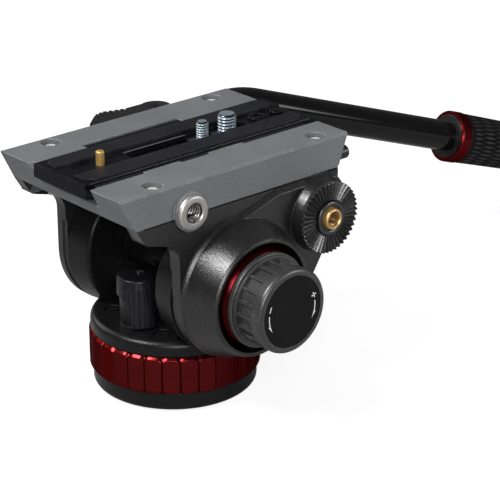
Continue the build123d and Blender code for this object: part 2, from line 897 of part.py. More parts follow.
def drag_stator():
    """Ring with inward discs, fixed in the near arm between those of the rotor."""
    start = pocket_floor + plate_pitch
    body = rod_x(pocket_radius, start, arm_outer - run_gap, z=tilt_height)
    body -= rod_x(stator_ring_radius, start - overrun, arm_outer, z=tilt_height)
    for n in range(rotor_count - 1):
        low = start + (2 * n + 1) * plate_pitch
        disc = rod_x(pocket_radius, low, low + plate_thickness, z=tilt_height)
        body += disc - rod_x(stator_bore_radius, low - overrun, low + plate_thickness + overrun,
                             z=tilt_height)
    return body


def balance_spring():
    """Flat spiral spring in the far arm, of half turns whose radius grows by half the pitch."""
    coil = None
    for half in range(2 * spring_turns):
        radius = spring_start_radius + half * spring_pitch / 2
        shift = spring_pitch / 4 if half % 2 else -spring_pitch / 4
        band = Circle(radius + spring_strip / 2) - Circle(radius - spring_strip / 2)
        side = 1 if half % 2 else -1
        window = Pos(0, side * pocket_radius) * Rectangle(4 * pocket_radius, 2 * pocket_radius)
        piece = (Pos(shift, 0) * band) & window
        coil = piece if coil is None else coil + piece
    low = pocket_floor + run_gap + overrun
    return far_side(Pos(0, 0, tilt_height) * prism_x(coil, low, low + spring_width))


def spring_arbor():
    """Hub on the axle that the spiral spring winds on."""
    body = rod_x(arbor_radius, -pocket_floor - run_gap, -arm_outer, z=tilt_height)
    return body - rod_x(axle_radius, -arm_outer - overrun, -pocket_floor, z=tilt_height)


def tooth(inner, outer, root):
    """One radial tooth along +Y, whose width and height grow with the radius."""
    half_angle = pi / rosette_teeth * tooth_fill_share
    ends = []
    for radius in (inner, outer):
        half = radius * tan(half_angle)
        rise = 2 * half * tooth_rise_share
        section = outline([(-half, root - overrun / 2), (half, root - overrun / 2), (half, root),
                           (0, root + rise), (-half, root)])
        ends.append(Pos(0, radius, 0) * (Plane.XZ * section))
    return loft(ends, ruled=True)


def rosette_disc():
    """Toothed disc facing +X, centred on the origin with the tooth tips in the plane of zero."""
    tallest = 2 * rosette_radius * tan(pi / rosette_teeth * tooth_fill_share) * tooth_rise_share
    body = rod_z(rosette_radius, -rosette_thickness, -tallest)
    single = tooth(rosette_hub_radius, rosette_radius, -tallest)
    step = 360 / rosette_teeth
    body += [Rot(0, 0, n * step) * single for n in range(rosette_teeth)]
    body &= rod_z(rosette_radius, -rosette_thickness, 0)
    body += rod_z(rosette_hub_radius, -rosette_thickness, rosette_hub_rise)
    body -= rod_z(brass_radius, -rosette_thickness - overrun, rosette_hub_rise + overrun)
    return Rot(0, 90, 0) * body


def rosette_near():
    """Rosette on the near cheek."""
    return Pos(rosette_face, rosette_reach, rosette_height) * rosette_disc()


def rosette_insert():
    """Brass insert of a rosette, on the +X side."""
    high = rosette_face + brass_rise
    low = high - brass_length
    body = rod_x(brass_radius, low, high, rosette_reach, rosette_height)
    body = chamfer(body.edges().sort_by(Axis.X)[-1], pin_round)
    return body - rod_x(brass_bore_radius, low - overrun, high + overrun, rosette_reach, rosette_height)


def trim_ring():
    """Red conical ring round the knob."""
    return turned_x(
        [(boss_floor + trim_floor_gap, trim_bore_radius), (boss_floor + trim_floor_gap, trim_radius),
         (trim_shoulder, trim_radius), (trim_face, trim_lip_radius), (trim_face, trim_bore_radius)],
        z=tilt_height,
    )


def knob_core():
    """Aluminium core and shaft of the drag knob."""
    core_front = knob_face - knob_label_depth
    body = rod_x(knob_shaft_radius, knob_shaft_end, knob_step_front, z=tilt_height)
    return body + rod_x(knob_core_radius, knob_flange_back - overrun, core_front, z=tilt_height)


def knob_grip():
    """Moulded grip: rear flange, recessed band with twenty ribs and a rolled front lip."""
    body = turned_x(
        [(knob_flange_back, 0), (knob_flange_back, knob_flange_radius),
         (knob_flange_front, knob_flange_radius),
         (knob_flange_front, knob_step_radius), (knob_step_front, knob_step_radius),
         (knob_step_front, knob_band_radius), (knob_lip_back, knob_band_radius),
         (knob_lip_back, knob_lip_radius), (knob_face, knob_lip_radius), (knob_face, 0)],
        {1: knob_rib_width / 2, 2: knob_rib_width / 2, 8: knob_lip_round},
        z=tilt_height,
    )
    rib = block(knob_step_front - overrun, knob_rib_front, -knob_rib_width / 2, knob_rib_width / 2,
                knob_band_radius - overrun, knob_rib_radius)
    step = 360 / knob_rib_count
    body += [Pos(0, 0, tilt_height) * Rot(n * step, 0, 0) * rib for n in range(knob_rib_count)]
    body -= rod_x(knob_label_radius, knob_face - knob_label_depth, knob_face + overrun, z=tilt_height)
    return body - rod_x(knob_core_radius, knob_flange_back - overrun, knob_face, z=tilt_height)


def knob_label():
    """Flat disc in the front of the knob."""
    return rod_x(knob_label_radius - seat_gap, knob_face - knob_label_depth,
                 knob_face - knob_label_depth / 4, z=tilt_height)


def tilt_lock():
    """Lever of the tilt lock, on the -X side."""
    back = far_boss_face + run_gap
    hub = rod_x(tilt_lock_radius, back, tilt_lock_face, z=tilt_height)
    hub = fillet(hub.edges().sort_by(Axis.X)[-1], lock_edge_round)
    reach, drop = polar(tilt_lock_arm_length, tilt_lock_arm_angle)
    arm_back = tilt_lock_face - tilt_lock_arm_thickness
    tip = Pos(reach, drop) * Circle(tilt_lock_arm_radius)
    side = polar(1, tilt_lock_arm_angle + 90)
    wide = tilt_lock_radius * boss_waist_share + tilt_lock_arm_radius / 2
    arm = outline([
        (side[0] * wide, side[1] * wide), (-side[0] * wide, -side[1] * wide),
        (reach - side[0] * tilt_lock_arm_radius, drop - side[1] * tilt_lock_arm_radius),
        (reach + side[0] * tilt_lock_arm_radius, drop + side[1] * tilt_lock_arm_radius)])
    bar = Pos(0, 0, tilt_height) * prism_x(arm + tip, arm_back, tilt_lock_face - lock_edge_round)
    body = hub + bar
    body -= rod_x(tilt_lock_shaft_radius, back - overrun, tilt_lock_face + overrun, z=tilt_height)
    return far_side(body)


def tilt_lock_shaft():
    """Threaded shaft of the tilt lock."""
    return far_side(rod_x(tilt_lock_shaft_radius, tilt_lock_shaft_end,
                          tilt_lock_face - tilt_lock_screw_height, z=tilt_height))


def tilt_lock_screw():
    """Cap screw in the hub of the tilt lock."""
    low = tilt_lock_face - tilt_lock_screw_height
    return far_side(rod_x(tilt_lock_screw_radius, low, tilt_lock_face - hex_key_radius / 2, z=tilt_height))


def platform_face():
    """Side outline of the platform, whose ends slant inwards below."""
    return outline([(-wing_front_top, wing_top), (-wing_front_bottom, wing_bottom),
                    (wing_rear_bottom, wing_bottom), (wing_rear_top, wing_top)],
                   {2: wing_heel_round})


def platform():
    """Grey casting: two wings, the channel of the sliding plate and the collar of the side socket."""
    wide = wing_bottom_half + overrun
    body = prism_x(platform_face(), -wide, wide)
    section = outline([(-wing_bottom_half, wing_bottom), (-wing_top_half, wing_top),
                       (wing_top_half, wing_top), (wing_bottom_half, wing_bottom)])
    reach = wing_rear_top + overrun
    body &= prism_y(section, -reach, reach)
    body = chamfer(body.edges().filter_by(Axis.Y).group_by(Axis.Z)[-1], wing_edge_round)
    near_half = channel_half
    channel = outline([
        (near_half, channel_floor), (near_half, wing_top + overrun),
        (-far_lip_half, wing_top + overrun), (-far_lip_half, plate_bevel_top),
        (-plate_bottom_half - run_gap, plate_bevel_bottom), (-plate_bottom_half - run_gap, channel_floor)])
    body -= prism_y(channel, -reach, reach)
    mouth = outline([(-channel_mouth_half, -wing_front_top - overrun),
                     (channel_mouth_half, -wing_front_top - overrun),
                     (channel_half, channel_mouth_length - wing_front_top),
                     (-far_lip_half, channel_mouth_length - wing_front_top)])
    body -= Pos(0, 0, channel_floor) * extrude(mouth, wing_top)
    lip = outline([(-floor_lip_front, channel_floor - floor_lip_drop), (-floor_lip_back, channel_floor),
                   (-floor_lip_back, channel_floor + overrun), (-wing_front_top, channel_floor + overrun),
                   (-wing_front_top, channel_floor - floor_lip_drop)])
    body -= prism_x(lip, -far_lip_half, channel_half)
    for front in tongue_fronts:
        body += block(channel_half - tongue_rise, channel_half + overrun, front, front + tongue_length,
                      rail_top + seat_gap, wing_top)
    body -= block(-window_half, -far_lip_half + overrun, -window_front, window_rear,
                  channel_floor, wing_top + overrun)
    body -= rod_x(jaw_stem_radius + shaft_gap, -wing_bottom_half - overrun, -window_half + overrun,
                  jaw_stem_reach, jaw_stem_height)
    lug = rod_z(lug_radius, lug_bottom, clamp_lever_bottom - run_gap, -clamp_pivot_side, clamp_pivot_reach)
    lug += block(-clamp_pivot_side, -wing_top_half + overrun, clamp_pivot_reach - lug_radius,
                 clamp_pivot_reach + lug_radius, lug_bottom, clamp_lever_bottom - run_gap)
    body += lug
    body -= rod_z(clamp_shank_radius, lug_bottom - overrun, wing_top, -clamp_pivot_side, clamp_pivot_reach)
    body += rod_x(socket_collar_radius, socket_collar_back, socket_collar_face, -socket_reach, socket_height)
    body -= rod_x(socket_radius, socket_face - socket_length, socket_face, -socket_reach, socket_height)
    for x in (-wing_screw_side, wing_screw_side):
        for y in wing_screw_rows():
            body -= rod_z(wing_screw_hole_radius, wing_top - wing_screw_hole_depth, wing_top + overrun, x, y)
            body -= rod_z(wing_screw_shank_radius, wing_bottom - overrun, wing_top, x, y)
    button_back = wing_rear_top - button_length
    body -= rod_y(button_radius + run_gap, button_back - run_gap, wing_rear_top + overrun,
                  button_side, button_height)
    body -= rod_y(button_stem_radius + shaft_gap, button_back - button_stem_length - run_gap,
                  button_back + overrun, button_side, button_height)
    return body


def platform_screws():
    """Four socket screws that join the wings to the cheeks."""
    low = wing_top - wing_screw_hole_depth
    top = low + wing_screw_head_height
    screws = []
    for x in (-wing_screw_side, wing_screw_side):
        for y in wing_screw_rows():
            screw = rod_z(wing_screw_head_radius, low, top, x, y)
            foot = cheek_top - wing_screw_shank_length + overrun
            screw += rod_z(wing_screw_shank_radius, foot, low, x, y)
            screws.append(screw - hex_z(wing_screw_key_radius, top - hex_key_depth, top + overrun, x, y))
    return screws


def side_socket():
    """Bright threaded socket for an accessory arm."""
    back = socket_face - socket_length
    body = rod_x(socket_radius, back, socket_face, -socket_reach, socket_height)
    body = fillet(body.edges().sort_by(Axis.X)[-1], socket_round)
    return body - rod_x(base_thread_bore, back - overrun, socket_face + overrun, -socket_reach, socket_height)


def plate_section(side_top, side_bottom, top, bottom):
    """Near half of a dovetail outline."""
    return [(side_top, top), (side_top, plate_bevel_top), (side_bottom, plate_bevel_bottom),
            (side_bottom, bottom)]


def guide_rail():
    """Black rail between the near wing and the plate."""
    outer = channel_half - seat_gap
    inner = plate_section(plate_top_half + run_gap, plate_bottom_half + run_gap, rail_top, channel_floor)
    return prism_y(outline(inner + [(outer, channel_floor), (outer, rail_top)]), -rail_front, rail_rear)


def clamp_jaw():
    """Moving jaw in the window of the far wing, with the stem that the lever pulls."""
    outer = window_half - jaw_travel - jaw_clearance
    low = channel_floor + seat_gap
    inner = plate_section(plate_top_half + run_gap, plate_bottom_half + run_gap, rail_top, low)
    section = outline(inner + [(outer, low), (outer, rail_top)])
    body = prism_y(section, -window_front + jaw_clearance, window_rear - jaw_clearance)
    body = far_side(body)
    return body + rod_x(jaw_stem_radius, -outer + overrun, -jaw_stem_end, jaw_stem_reach, jaw_stem_height)


def clamp_lever():
    """Lever of the plate lock: hub, arm and a thumb end with grooves across its outer edge."""
    hub = Pos(-clamp_pivot_side, clamp_pivot_reach) * Circle(clamp_hub_radius)
    arm = outline(
        [(-clamp_arm_inner, clamp_pivot_reach), (-clamp_arm_inner, -clamp_thumb_front),
         (-clamp_thumb_nose, -clamp_thumb_front), (-clamp_thumb_side, clamp_thumb_turn),
         (-clamp_thumb_peak, clamp_thumb_reach), (-clamp_arm_outer, clamp_thumb_end),
         (-clamp_arm_outer, clamp_pivot_reach)],
        {2: clamp_thumb_round, 3: clamp_thumb_round, 4: clamp_thumb_round},
    )
    body = Pos(0, 0, clamp_lever_bottom) * extrude(hub + arm, clamp_lever_top - clamp_lever_bottom)
    groove = block(-clamp_thumb_peak - overrun, -clamp_groove_inner, 0, clamp_groove_width,
                   clamp_lever_top - clamp_groove_depth, clamp_lever_top + overrun)
    body -= [Pos(0, clamp_groove_front + n * clamp_groove_pitch, 0) * groove
             for n in range(clamp_groove_count)]
    body -= rod_z(clamp_shank_radius + shaft_gap, clamp_lever_bottom - overrun, clamp_lever_top + overrun,
                  -clamp_pivot_side, clamp_pivot_reach)
    return body - rod_z(clamp_screw_radius + run_gap, clamp_lever_top - clamp_screw_height,
                        clamp_lever_top + overrun, -clamp_pivot_side, clamp_pivot_reach)


def clamp_pivot():
    """Shoulder screw that the plate lock lever turns on, flush with the lever."""
    head_low = clamp_lever_top - clamp_screw_height + run_gap
    body = rod_z(clamp_screw_radius, head_low, clamp_lever_top, -clamp_pivot_side, clamp_pivot_reach)
    body += rod_z(clamp_shank_radius, lug_bottom, head_low, -clamp_pivot_side, clamp_pivot_reach)
    return body - hex_z(hex_key_radius, clamp_lever_top - clamp_groove_depth / 2, clamp_lever_top + overrun,
                        -clamp_pivot_side, clamp_pivot_reach)


def release_button():
    """Button that frees the sliding plate."""
    back = wing_rear_top + button_rise - button_length
    body = rod_y(button_radius, back, wing_rear_top + button_rise, button_side, button_height)
    body = fillet(body.edges().sort_by(Axis.Y)[-1], pin_round)
    return body + rod_y(button_stem_radius, back - button_stem_length, back, button_side, button_height)


def camera_plate():
    """Dovetail plate with a groove, and a stepped slot for the camera screws."""
    half = plate_section(plate_top_half, plate_bottom_half, plate_top, plate_bottom)
    section = outline(half + [(-x, z) for x, z in reversed(half)])
    body = prism_y(section, -plate_front, plate_rear)
    wide = plate_bottom_half
    cut = plate_end_chamfer
    plan = outline([
        (-wide, cut - plate_front), (cut - wide, -plate_front), (wide - cut, -plate_front),
        (wide, cut - plate_front), (wide, plate_rear - cut), (wide - cut, plate_rear),
        (cut - wide, plate_rear), (-wide, plate_rear - cut)])
    body &= Pos(0, 0, plate_bottom) * extrude(plan, plate_top - plate_bottom)
    body -= block(-groove_half, groove_half, -groove_front, plate_rear + overrun,
                  plate_top - groove_depth, plate_top + overrun)
    span = slot_front + slot_rear
    middle = (slot_rear - slot_front) / 2
    upper = Pos(0, middle, plate_bottom - overrun) * extrude(
        Rot(0, 0, 90) * SlotOverall(span, 2 * slot_half), plate_top)
    lower = block(-slot_ledge_half, slot_ledge_half, -slot_front - slot_ledge_half + slot_half,
                  slot_rear + slot_ledge_half - slot_half, plate_bottom - overrun, slot_ledge_height)
    body -= upper
    body -= lower
    for side in (-1, 1):
        body -= strip_solid(side, plate_top - strip_sink, plate_top + overrun)
    body -= rod_z(pin_radius, plate_top - pin_depth, plate_top, 0, -pin_reach)
    body -= rod_z(stop_ring_radius, plate_top - stop_depth, plate_top, 0, stop_ring_reach)
    body -= rod_z(stop_stud_radius, plate_top - stop_depth, plate_top, 0, stop_stud_reach)
    return body


def strip_solid(side, low, high):
    """Rubber strip of the plate, with a slanted front end."""
    inner, outer = side * strip_inner, side * strip_outer
    nose = side * (strip_outer - strip_nose)
    points = [(inner, -strip_front), (nose, -strip_front), (outer, strip_nose - strip_front),
              (outer, strip_rear - strip_nose), (nose, strip_rear), (inner, strip_rear)]
    return Pos(0, 0, low) * extrude(make_face(Polyline(*points, close=True)), high - low)


def grip_strips():
    """The two rubber strips under the camera."""
    return [strip_solid(side, plate_top - strip_sink, strip_top) for side in (-1, 1)]


def locating_pin():
    """Brass pin that stops a camera turning."""
    body = rod_z(pin_radius, plate_top - pin_depth, plate_top + pin_rise, 0, -pin_reach)
    return fillet(body.edges().sort_by(Axis.Z)[-1], pin_round)


def screw_carrier(reach, length, bore):
    """Sliding block under the slot's ledge that carries one camera screw."""
    high = slot_ledge_height - carrier_gap
    body = block(-carrier_half, carrier_half, reach - length / 2, reach + length / 2,
                 high - carrier_height, high)
    return body - rod_z(bore + shaft_gap, high - carrier_height - overrun, high + overrun, 0, reach)


def camera_screw(reach, radius, rise):
    """Camera screw with its slotted flange below the carrier."""
    low = slot_ledge_height - carrier_gap - carrier_height - run_gap
    body = rod_z(radius, low, plate_top + rise, 0, reach)
    body = chamfer(body.edges().sort_by(Axis.Z)[-1], pin_round)
    flange = rod_z(screw_flange_radius, low - screw_flange_height, low, 0, reach)
    cut = block(-screw_flange_radius - overrun, screw_flange_radius + overrun, reach - pin_round,
                reach + pin_round, low - screw_flange_height - overrun, low - screw_flange_height / 2)
    return body + (flange - cut)


def stop_ring():
    """Raised ring round the rear stop screw."""
    body = rod_z(stop_ring_radius, plate_top - stop_depth, plate_top + stop_ring_rise, 0, stop_ring_reach)
    body = fillet(body.edges().sort_by(Axis.Z)[-1], pin_round)
    return body - rod_z(stop_ring_bore, plate_top - stop_depth / 2, plate_top + stop_ring_rise + overrun, 0,
                        stop_ring_reach)


def stop_screw():
    """Socket screw in the stop ring."""
    top = plate_top - groove_depth / 2
    body = rod_z(stop_screw_radius, plate_top - stop_depth / 2, top, 0, stop_ring_reach)
    return body - hex_z(hex_key_radius, top - groove_depth, top + overrun, 0, stop_ring_reach)


def stop_stud():
    """Domed stud behind the stop ring."""
    body = rod_z(stop_stud_radius, plate_top - stop_depth, plate_top + stop_stud_rise, 0, stop_stud_reach)
    return fillet(body.edges().sort_by(Axis.Z)[-1], stop_stud_round)


def bar_rise():
    """Unit vector of the short run of the pan bar."""
    return Vector(0, cos(radians(bar_rise_angle)), sin(radians(bar_rise_angle)))


def bar_fall():
    """Unit vector of the long run of the pan bar."""
    level = cos(radians(bar_fall_angle))
    return Vector(sin(radians(bar_turn_in_angle)) * level, cos(radians(bar_turn_in_angle)) * level,
                  -sin(radians(bar_fall_angle)))


def bar_hub():
    return Vector(-bar_plane, rosette_reach, rosette_height)


def bar_corner():
    """Where the two runs of the pan bar would meet."""
    run = bar_corner_run / cos(radians(bar_rise_angle))
    return bar_hub() + bar_rise() * run


def along_bar(distance):
    """Plane across the long run, at a distance from its corner."""
    return Plane(origin=bar_corner() + bar_fall() * distance, z_dir=bar_fall())


def bar_tube():
    """Black tube of the pan bar, bent once near the head."""
    start = bar_hub() + bar_rise() * bar_start
    end = bar_corner() + bar_fall() * (bar_straight + grip_ring_length + grip_length)
    path = FilletPolyline(start, bar_corner(), end, radius=bar_bend_radius)
    ring = Plane(origin=start, z_dir=bar_rise()) * (Circle(bar_radius) - Circle(bar_radius - bar_wall))
    return sweep(ring, path=path)


def bar_clamp():
    """Clamp block: drum on the rosette axis and the sleeve that grips the tube."""
    tips = rosette_face + rosette_parting
    body = rod_x(clamp_body_radius, -tips - rosette_thickness, -clamp_body_outer, rosette_reach,
                 rosette_height)
    body = fillet(body.edges().sort_by(Axis.X)[0], clamp_sleeve_round)
    face = Plane(origin=bar_hub(), z_dir=bar_rise())
    back = -tips - rosette_thickness
    neck = face * extrude(Circle(clamp_sleeve_radius), clamp_neck_length + overrun)
    body += neck & block(-clamp_body_outer, back, 0, 2 * rosette_reach, 0, 2 * rosette_height)
    sleeve = extrude(Circle(clamp_sleeve_radius), clamp_sleeve_length - clamp_neck_length)
    body += face * Pos(0, 0, clamp_neck_length) * sleeve
    body -= face * Pos(0, 0, bar_start) * extrude(Circle(bar_radius), clamp_sleeve_length)
    return body - rod_x(clamp_bore_radius, -tips - rosette_thickness + overrun,
                        -clamp_body_outer - overrun, rosette_reach, rosette_height)


def rosette_bar():
    """Rosette of the clamp, facing the one on the far cheek."""
    tips = rosette_face + rosette_parting
    disc = rosette_disc() - rod_x(rosette_hub_radius + run_gap, -rosette_recess, rosette_thickness)
    disc -= rod_x(brass_radius + run_gap, -rosette_thickness - overrun, 0)
    return Pos(-tips, rosette_reach, rosette_height) * disc


def grip_ring():
    """Red ring at the front of the grip."""
    section = outline([(bar_radius, 0), (grip_collar_radius, 0), (grip_ring_radius - grip_ring_chamfer, 0),
                       (grip_ring_radius, grip_ring_chamfer), (grip_ring_radius, grip_ring_length),
                       (bar_radius, grip_ring_length)])
    ring = revolve(Plane.XZ * section, Axis.Z)
    ring -= Cylinder(grip_collar_radius, 2 * grip_collar_sink)
    return along_bar(bar_straight) * ring


def grip_collar():
    """Black washer let into the front of the red ring."""
    body = Cylinder(grip_collar_radius, grip_collar_sink) - Cylinder(bar_radius, 2 * grip_collar_sink)
    return along_bar(bar_straight + grip_collar_sink / 2) * body


def bar_grip():
    """Rubber grip, slightly waisted."""
    points = [(bar_radius, 0), (grip_radius, 0), (grip_radius, grip_length), (bar_radius, grip_length)]
    side = ThreePointArc((grip_radius, 0), (grip_waist_radius, grip_length / 2), (grip_radius, grip_length))
    rest = Polyline(points[2], points[3], points[0], points[1])
    body = revolve(Plane.XZ * make_face(side + rest), Axis.Z)
    return along_bar(bar_straight + grip_ring_length) * body


def bar_cap():
    """End cap with the plug that goes into the tube."""
    body = Pos(0, 0, cap_length / 2) * Cylinder(cap_radius, cap_length)
    body = fillet(body.edges().group_by(Axis.Z)[-1], cap_round)
    body += Pos(0, 0, -cap_plug_length / 2) * Cylinder(bar_radius - bar_wall, cap_plug_length)
    return along_bar(bar_straight + grip_ring_length + grip_length) * body


def clamp_knob():
    """Lobed knob that tightens the clamp."""
    body = rod_x(wing_knob_radius, -wing_knob_back, -wing_knob_face, rosette_reach, rosette_height)
    body = fillet(body.edges().sort_by(Axis.X)[0], wing_knob_round)
    scoop = rod_x(wing_knob_lobe_radius, -wing_knob_back - 2 * overrun, -wing_knob_face - overrun)
    scoop = Pos(0, wing_knob_radius + wing_knob_lobe_radius / 2, 0) * scoop
    hub = Pos(0, rosette_reach, rosette_height)
    body -= [hub * Rot(n * 360 / wing_knob_lobes, 0, 0) * scoop for n in range(wing_knob_lobes)]
    return body - rod_x(bar_stud_radius, -wing_knob_back + overrun, -wing_knob_face + overrun,
                        rosette_reach, rosette_height)


def clamp_stud():
    """Steel stud of the clamp knob, which screws into the far rosette."""
    return rod_x(bar_stud_radius, -stud_inner_end, -wing_knob_face + overrun, rosette_reach, rosette_height)


save("base_disc", base_disc())
save("base_thread_insert", base_insert())
save("base_screws", *base_screws())
save("pan_spindle", spindle())
save("spindle_nut", spindle_nut())
save("pan_friction_discs", *pan_discs())
save("pan_drag_ring", drag_ring())
save("pan_housing", pan_housing())
save("floor_screws", *floor_screws())
save("pan_bush", pan_bush())
save("brake_shoe", brake_shoe())
save("tilt_bush_right", tilt_bush())
save("tilt_bush_left", far_side(tilt_bush()))
save("level_bezel", level_ring())
save("level_vial", level_vial())
save("drag_stator", drag_stator())
save("counterbalance_spring", balance_spring())
save("pan_lock_lever", lock_lever())
save("pan_lock_shaft", lock_shaft())
save("pan_lock_screw", lock_screw())
save("cheek_right", cheek_right())
save("cheek_left", cheek_left())
save("tilt_axle", axle())
save("drag_rotor", drag_rotor())
save("spring_arbor", spring_arbor())
save("rosette_right", rosette_near())
save("rosette_left", far_side(rosette_near()))
save("rosette_insert_right", rosette_insert())
save("rosette_insert_left", far_side(rosette_insert()))
save("drag_trim_ring", trim_ring())
save("drag_knob_core", knob_core())
save("drag_knob_grip", knob_grip())
save("drag_knob_label", knob_label())
save("tilt_lock_lever", tilt_lock())
save("tilt_lock_shaft", tilt_lock_shaft())
save("tilt_lock_screw", tilt_lock_screw())
save("platform", platform())
save("platform_screws", *platform_screws())
save("side_thread_socket", side_socket())
save("guide_rail", guide_rail())
save("clamp_jaw", clamp_jaw())
save("plate_lock_lever", clamp_lever())
save("plate_lock_pivot", clamp_pivot())
save("release_button", release_button())
save("camera_plate", camera_plate())
save("grip_strips", *grip_strips())
save("locating_pin", locating_pin())
save("small_screw_carrier", screw_carrier(small_screw_reach, small_carrier_length, quarter_screw_radius))
save("wide_screw_carrier", screw_carrier(wide_screw_reach, wide_carrier_length, wide_screw_radius))
save("camera_screw_small", camera_screw(small_screw_reach, quarter_screw_radius, small_screw_rise))
save("camera_screw_wide", camera_screw(wide_screw_reach, wide_screw_radius, wide_screw_rise))
save("stop_ring", stop_ring())
save("plate_stop_screws", stop_screw(), stop_stud())
save("bar_clamp", bar_clamp())
save("rosette_bar", rosette_bar())
save("bar_tube", bar_tube())
save("grip_ring", grip_ring())
save("grip_with_cap", bar_grip(), grip_collar(), bar_cap())
save("clamp_knob", clamp_knob())
save("clamp_stud", clamp_stud())
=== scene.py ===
"""Fluid video head: finishes of its pieces, fine pieces, studio and camera, in metres."""
import math

import bmesh
import bpy
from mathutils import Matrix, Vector


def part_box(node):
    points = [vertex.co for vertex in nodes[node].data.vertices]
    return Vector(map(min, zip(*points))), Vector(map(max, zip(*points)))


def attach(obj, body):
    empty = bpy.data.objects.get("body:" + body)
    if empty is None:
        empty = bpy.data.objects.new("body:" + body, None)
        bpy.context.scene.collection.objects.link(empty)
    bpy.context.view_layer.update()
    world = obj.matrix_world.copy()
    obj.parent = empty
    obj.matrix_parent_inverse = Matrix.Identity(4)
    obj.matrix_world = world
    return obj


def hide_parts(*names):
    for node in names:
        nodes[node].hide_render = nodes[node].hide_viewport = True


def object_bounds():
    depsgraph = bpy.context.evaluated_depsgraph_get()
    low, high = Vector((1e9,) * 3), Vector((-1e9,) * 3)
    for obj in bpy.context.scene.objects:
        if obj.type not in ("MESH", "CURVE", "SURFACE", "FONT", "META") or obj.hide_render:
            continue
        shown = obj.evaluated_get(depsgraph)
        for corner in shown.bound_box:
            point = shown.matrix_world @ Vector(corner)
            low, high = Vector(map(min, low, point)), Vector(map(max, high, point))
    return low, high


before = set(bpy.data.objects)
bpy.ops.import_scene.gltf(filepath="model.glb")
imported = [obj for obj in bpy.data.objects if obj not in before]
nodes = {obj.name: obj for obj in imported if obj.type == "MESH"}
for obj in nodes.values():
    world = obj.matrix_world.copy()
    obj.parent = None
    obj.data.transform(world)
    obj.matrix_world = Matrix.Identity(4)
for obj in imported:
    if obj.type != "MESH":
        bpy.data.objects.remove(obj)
cad_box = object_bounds()

mm = 0.001
tau = 2 * math.pi
socket_types = {"VALUE": "NodeSocketFloat", "VECTOR": "NodeSocketVector"}

# Axes and places of the head
right = Vector((1, 0, 0))
up = Vector((0, 0, 1))
tilt_centre = Vector((0, 0, 65.7 * mm))
rosette_centre = Vector((0, 52 * mm, 91 * mm))
socket_centre = Vector((0, -29 * mm, 112.7 * mm))

# Camera screws
small_screw_radius = 3.1 * mm
wide_screw_radius = 4.7 * mm
screw_root_share = 0.6
screw_flange = 1.2 * mm
screw_chamfer = 0.3 * mm
screw_neck = 0.4 * mm
screw_thread_end = 0.5 * mm
screw_thread_fade = 0.35 * mm
screw_tip_inset = 0.45 * mm
screw_tip_chamfer = 0.8 * mm
screw_dark_share = 0.34

# Screws of the wings; the dome is given as (radius, depth under the top) in mm
head_radius = 4.3 * mm
head_height = 3.8 * mm
head_dome_start = 1.5 * mm
head_dome = ((4.1, 0.95), (3.6, 0.45), (3.0, 0.15), (2.5, 0))
shank_radius = 2.4 * mm
shank_lift = 0.1 * mm
key_half = 2.0 * mm
key_depths = (0.15 * mm, 1.1 * mm)
key_floor_depth = 1.5 * mm
key_floor_radius = 0.3 * mm
bright_key_depth = 1.7 * mm
bright_key_radius = 2.35 * mm

# Dark strip of painted shade along the joint under the wings
wing_foot_half = 48.3 * mm
wing_seam_front = -57 * mm
wing_seam_rear = 66 * mm
wing_seam_inside = 0.4 * mm
wing_seam_outside = 0.26 * mm
wing_seam_drop = 0.62 * mm
wing_seam_rise = 0.02 * mm

# Pale lines of the camera plate: bare aluminium and painted highlight
plate_edge_half = 20.0 * mm
edge_line_width = 0.40 * mm
edge_line_foot = 0.45 * mm
edge_line_proud = 0.06 * mm
edge_line_rise = 0.02 * mm
edge_line_drop = 0.34 * mm
edge_line_margin = 3 * mm
plate_groove_depth = 1.2 * mm
slot_line_reach = 5.0 * mm
slot_line_start = -26 * mm
slot_line_width = 0.5 * mm
slot_line_rise = 0.12 * mm
slot_line_sink = 0.3 * mm
slot_dashes = 46
slot_dash_step = 0.85 * mm
slot_dash_length = 0.5 * mm

# Threaded bushes
bush_play = 0.05 * mm
bush_mouth = 0.12 * mm
bush_chamfer = 0.6 * mm
bush_thread_drop = 0.7 * mm
bush_lip_drop = 0.66 * mm
bush_thread_foot = 0.3 * mm
bush_dark_share = 0.45

# Near rosette
rosette_teeth = 42
tooth_steps = 8
tooth_depth = 1.75 * mm
tooth_flat = 1.12
rosette_fall = 1.30 * mm
rosette_floor = 0.1 * mm
rosette_rim = 0.9 * mm
rosette_rim_drop = 0.25 * mm
rosette_rim_inset = 0.35 * mm
teeth_inner = 9.6 * mm
rosette_bore = 5.4 * mm
insert_ring_rise = 0.7 * mm
insert_ring_middle = 7.6 * mm
insert_ring_half = 1.3 * mm
insert_ring_round = 0.85 * mm
insert_ring_sink = 0.9 * mm
# Its groove and the mouth of its insert, as (radius, depth under the top of the ring) in mm
rosette_groove = ((9.5, 3.0), (8.9, 3.0), (8.9, 0.8))
rosette_mouth = ((6.2, 1.4), (5.4, 1.5))

# Pan bar
bar_plane = 70.9 * mm
bar_rise_angle = math.radians(25.25)
bar_corner_reach = 94 * mm
bar_fall_angle = math.radians(18.3)
bar_turn_in_angle = math.radians(8.6)
grip_start = 174.4 * mm
grip_length = 132 * mm
grip_radius = 14.7 * mm
grip_waist = 0.7 * mm
grip_core_radius = 9.1 * mm
grip_plain = 0.9 * mm
grip_chamfer = 0.7 * mm
grip_lead = 0.5 * mm
grip_lead_drop = 0.15 * mm
knurl_sink = 0.1 * mm
knurl_columns = 34
knurl_rows = 13
knurl_height = 0.45 * mm
knurl_flat = 0.56
knurl_end_share = 0.45
cap_radius = 14.9 * mm
cap_length = 5 * mm
cap_round = 2.2 * mm
cap_dish_radius = 9.5 * mm
cap_dish_depth = 0.5 * mm
cap_dish_slope = 0.6 * mm
cap_middle = 0.5 * mm
collar_radius = 13.2 * mm
collar_depth = 1.2 * mm
collar_sink = 7.2 * mm
end_chamfer = 0.3 * mm

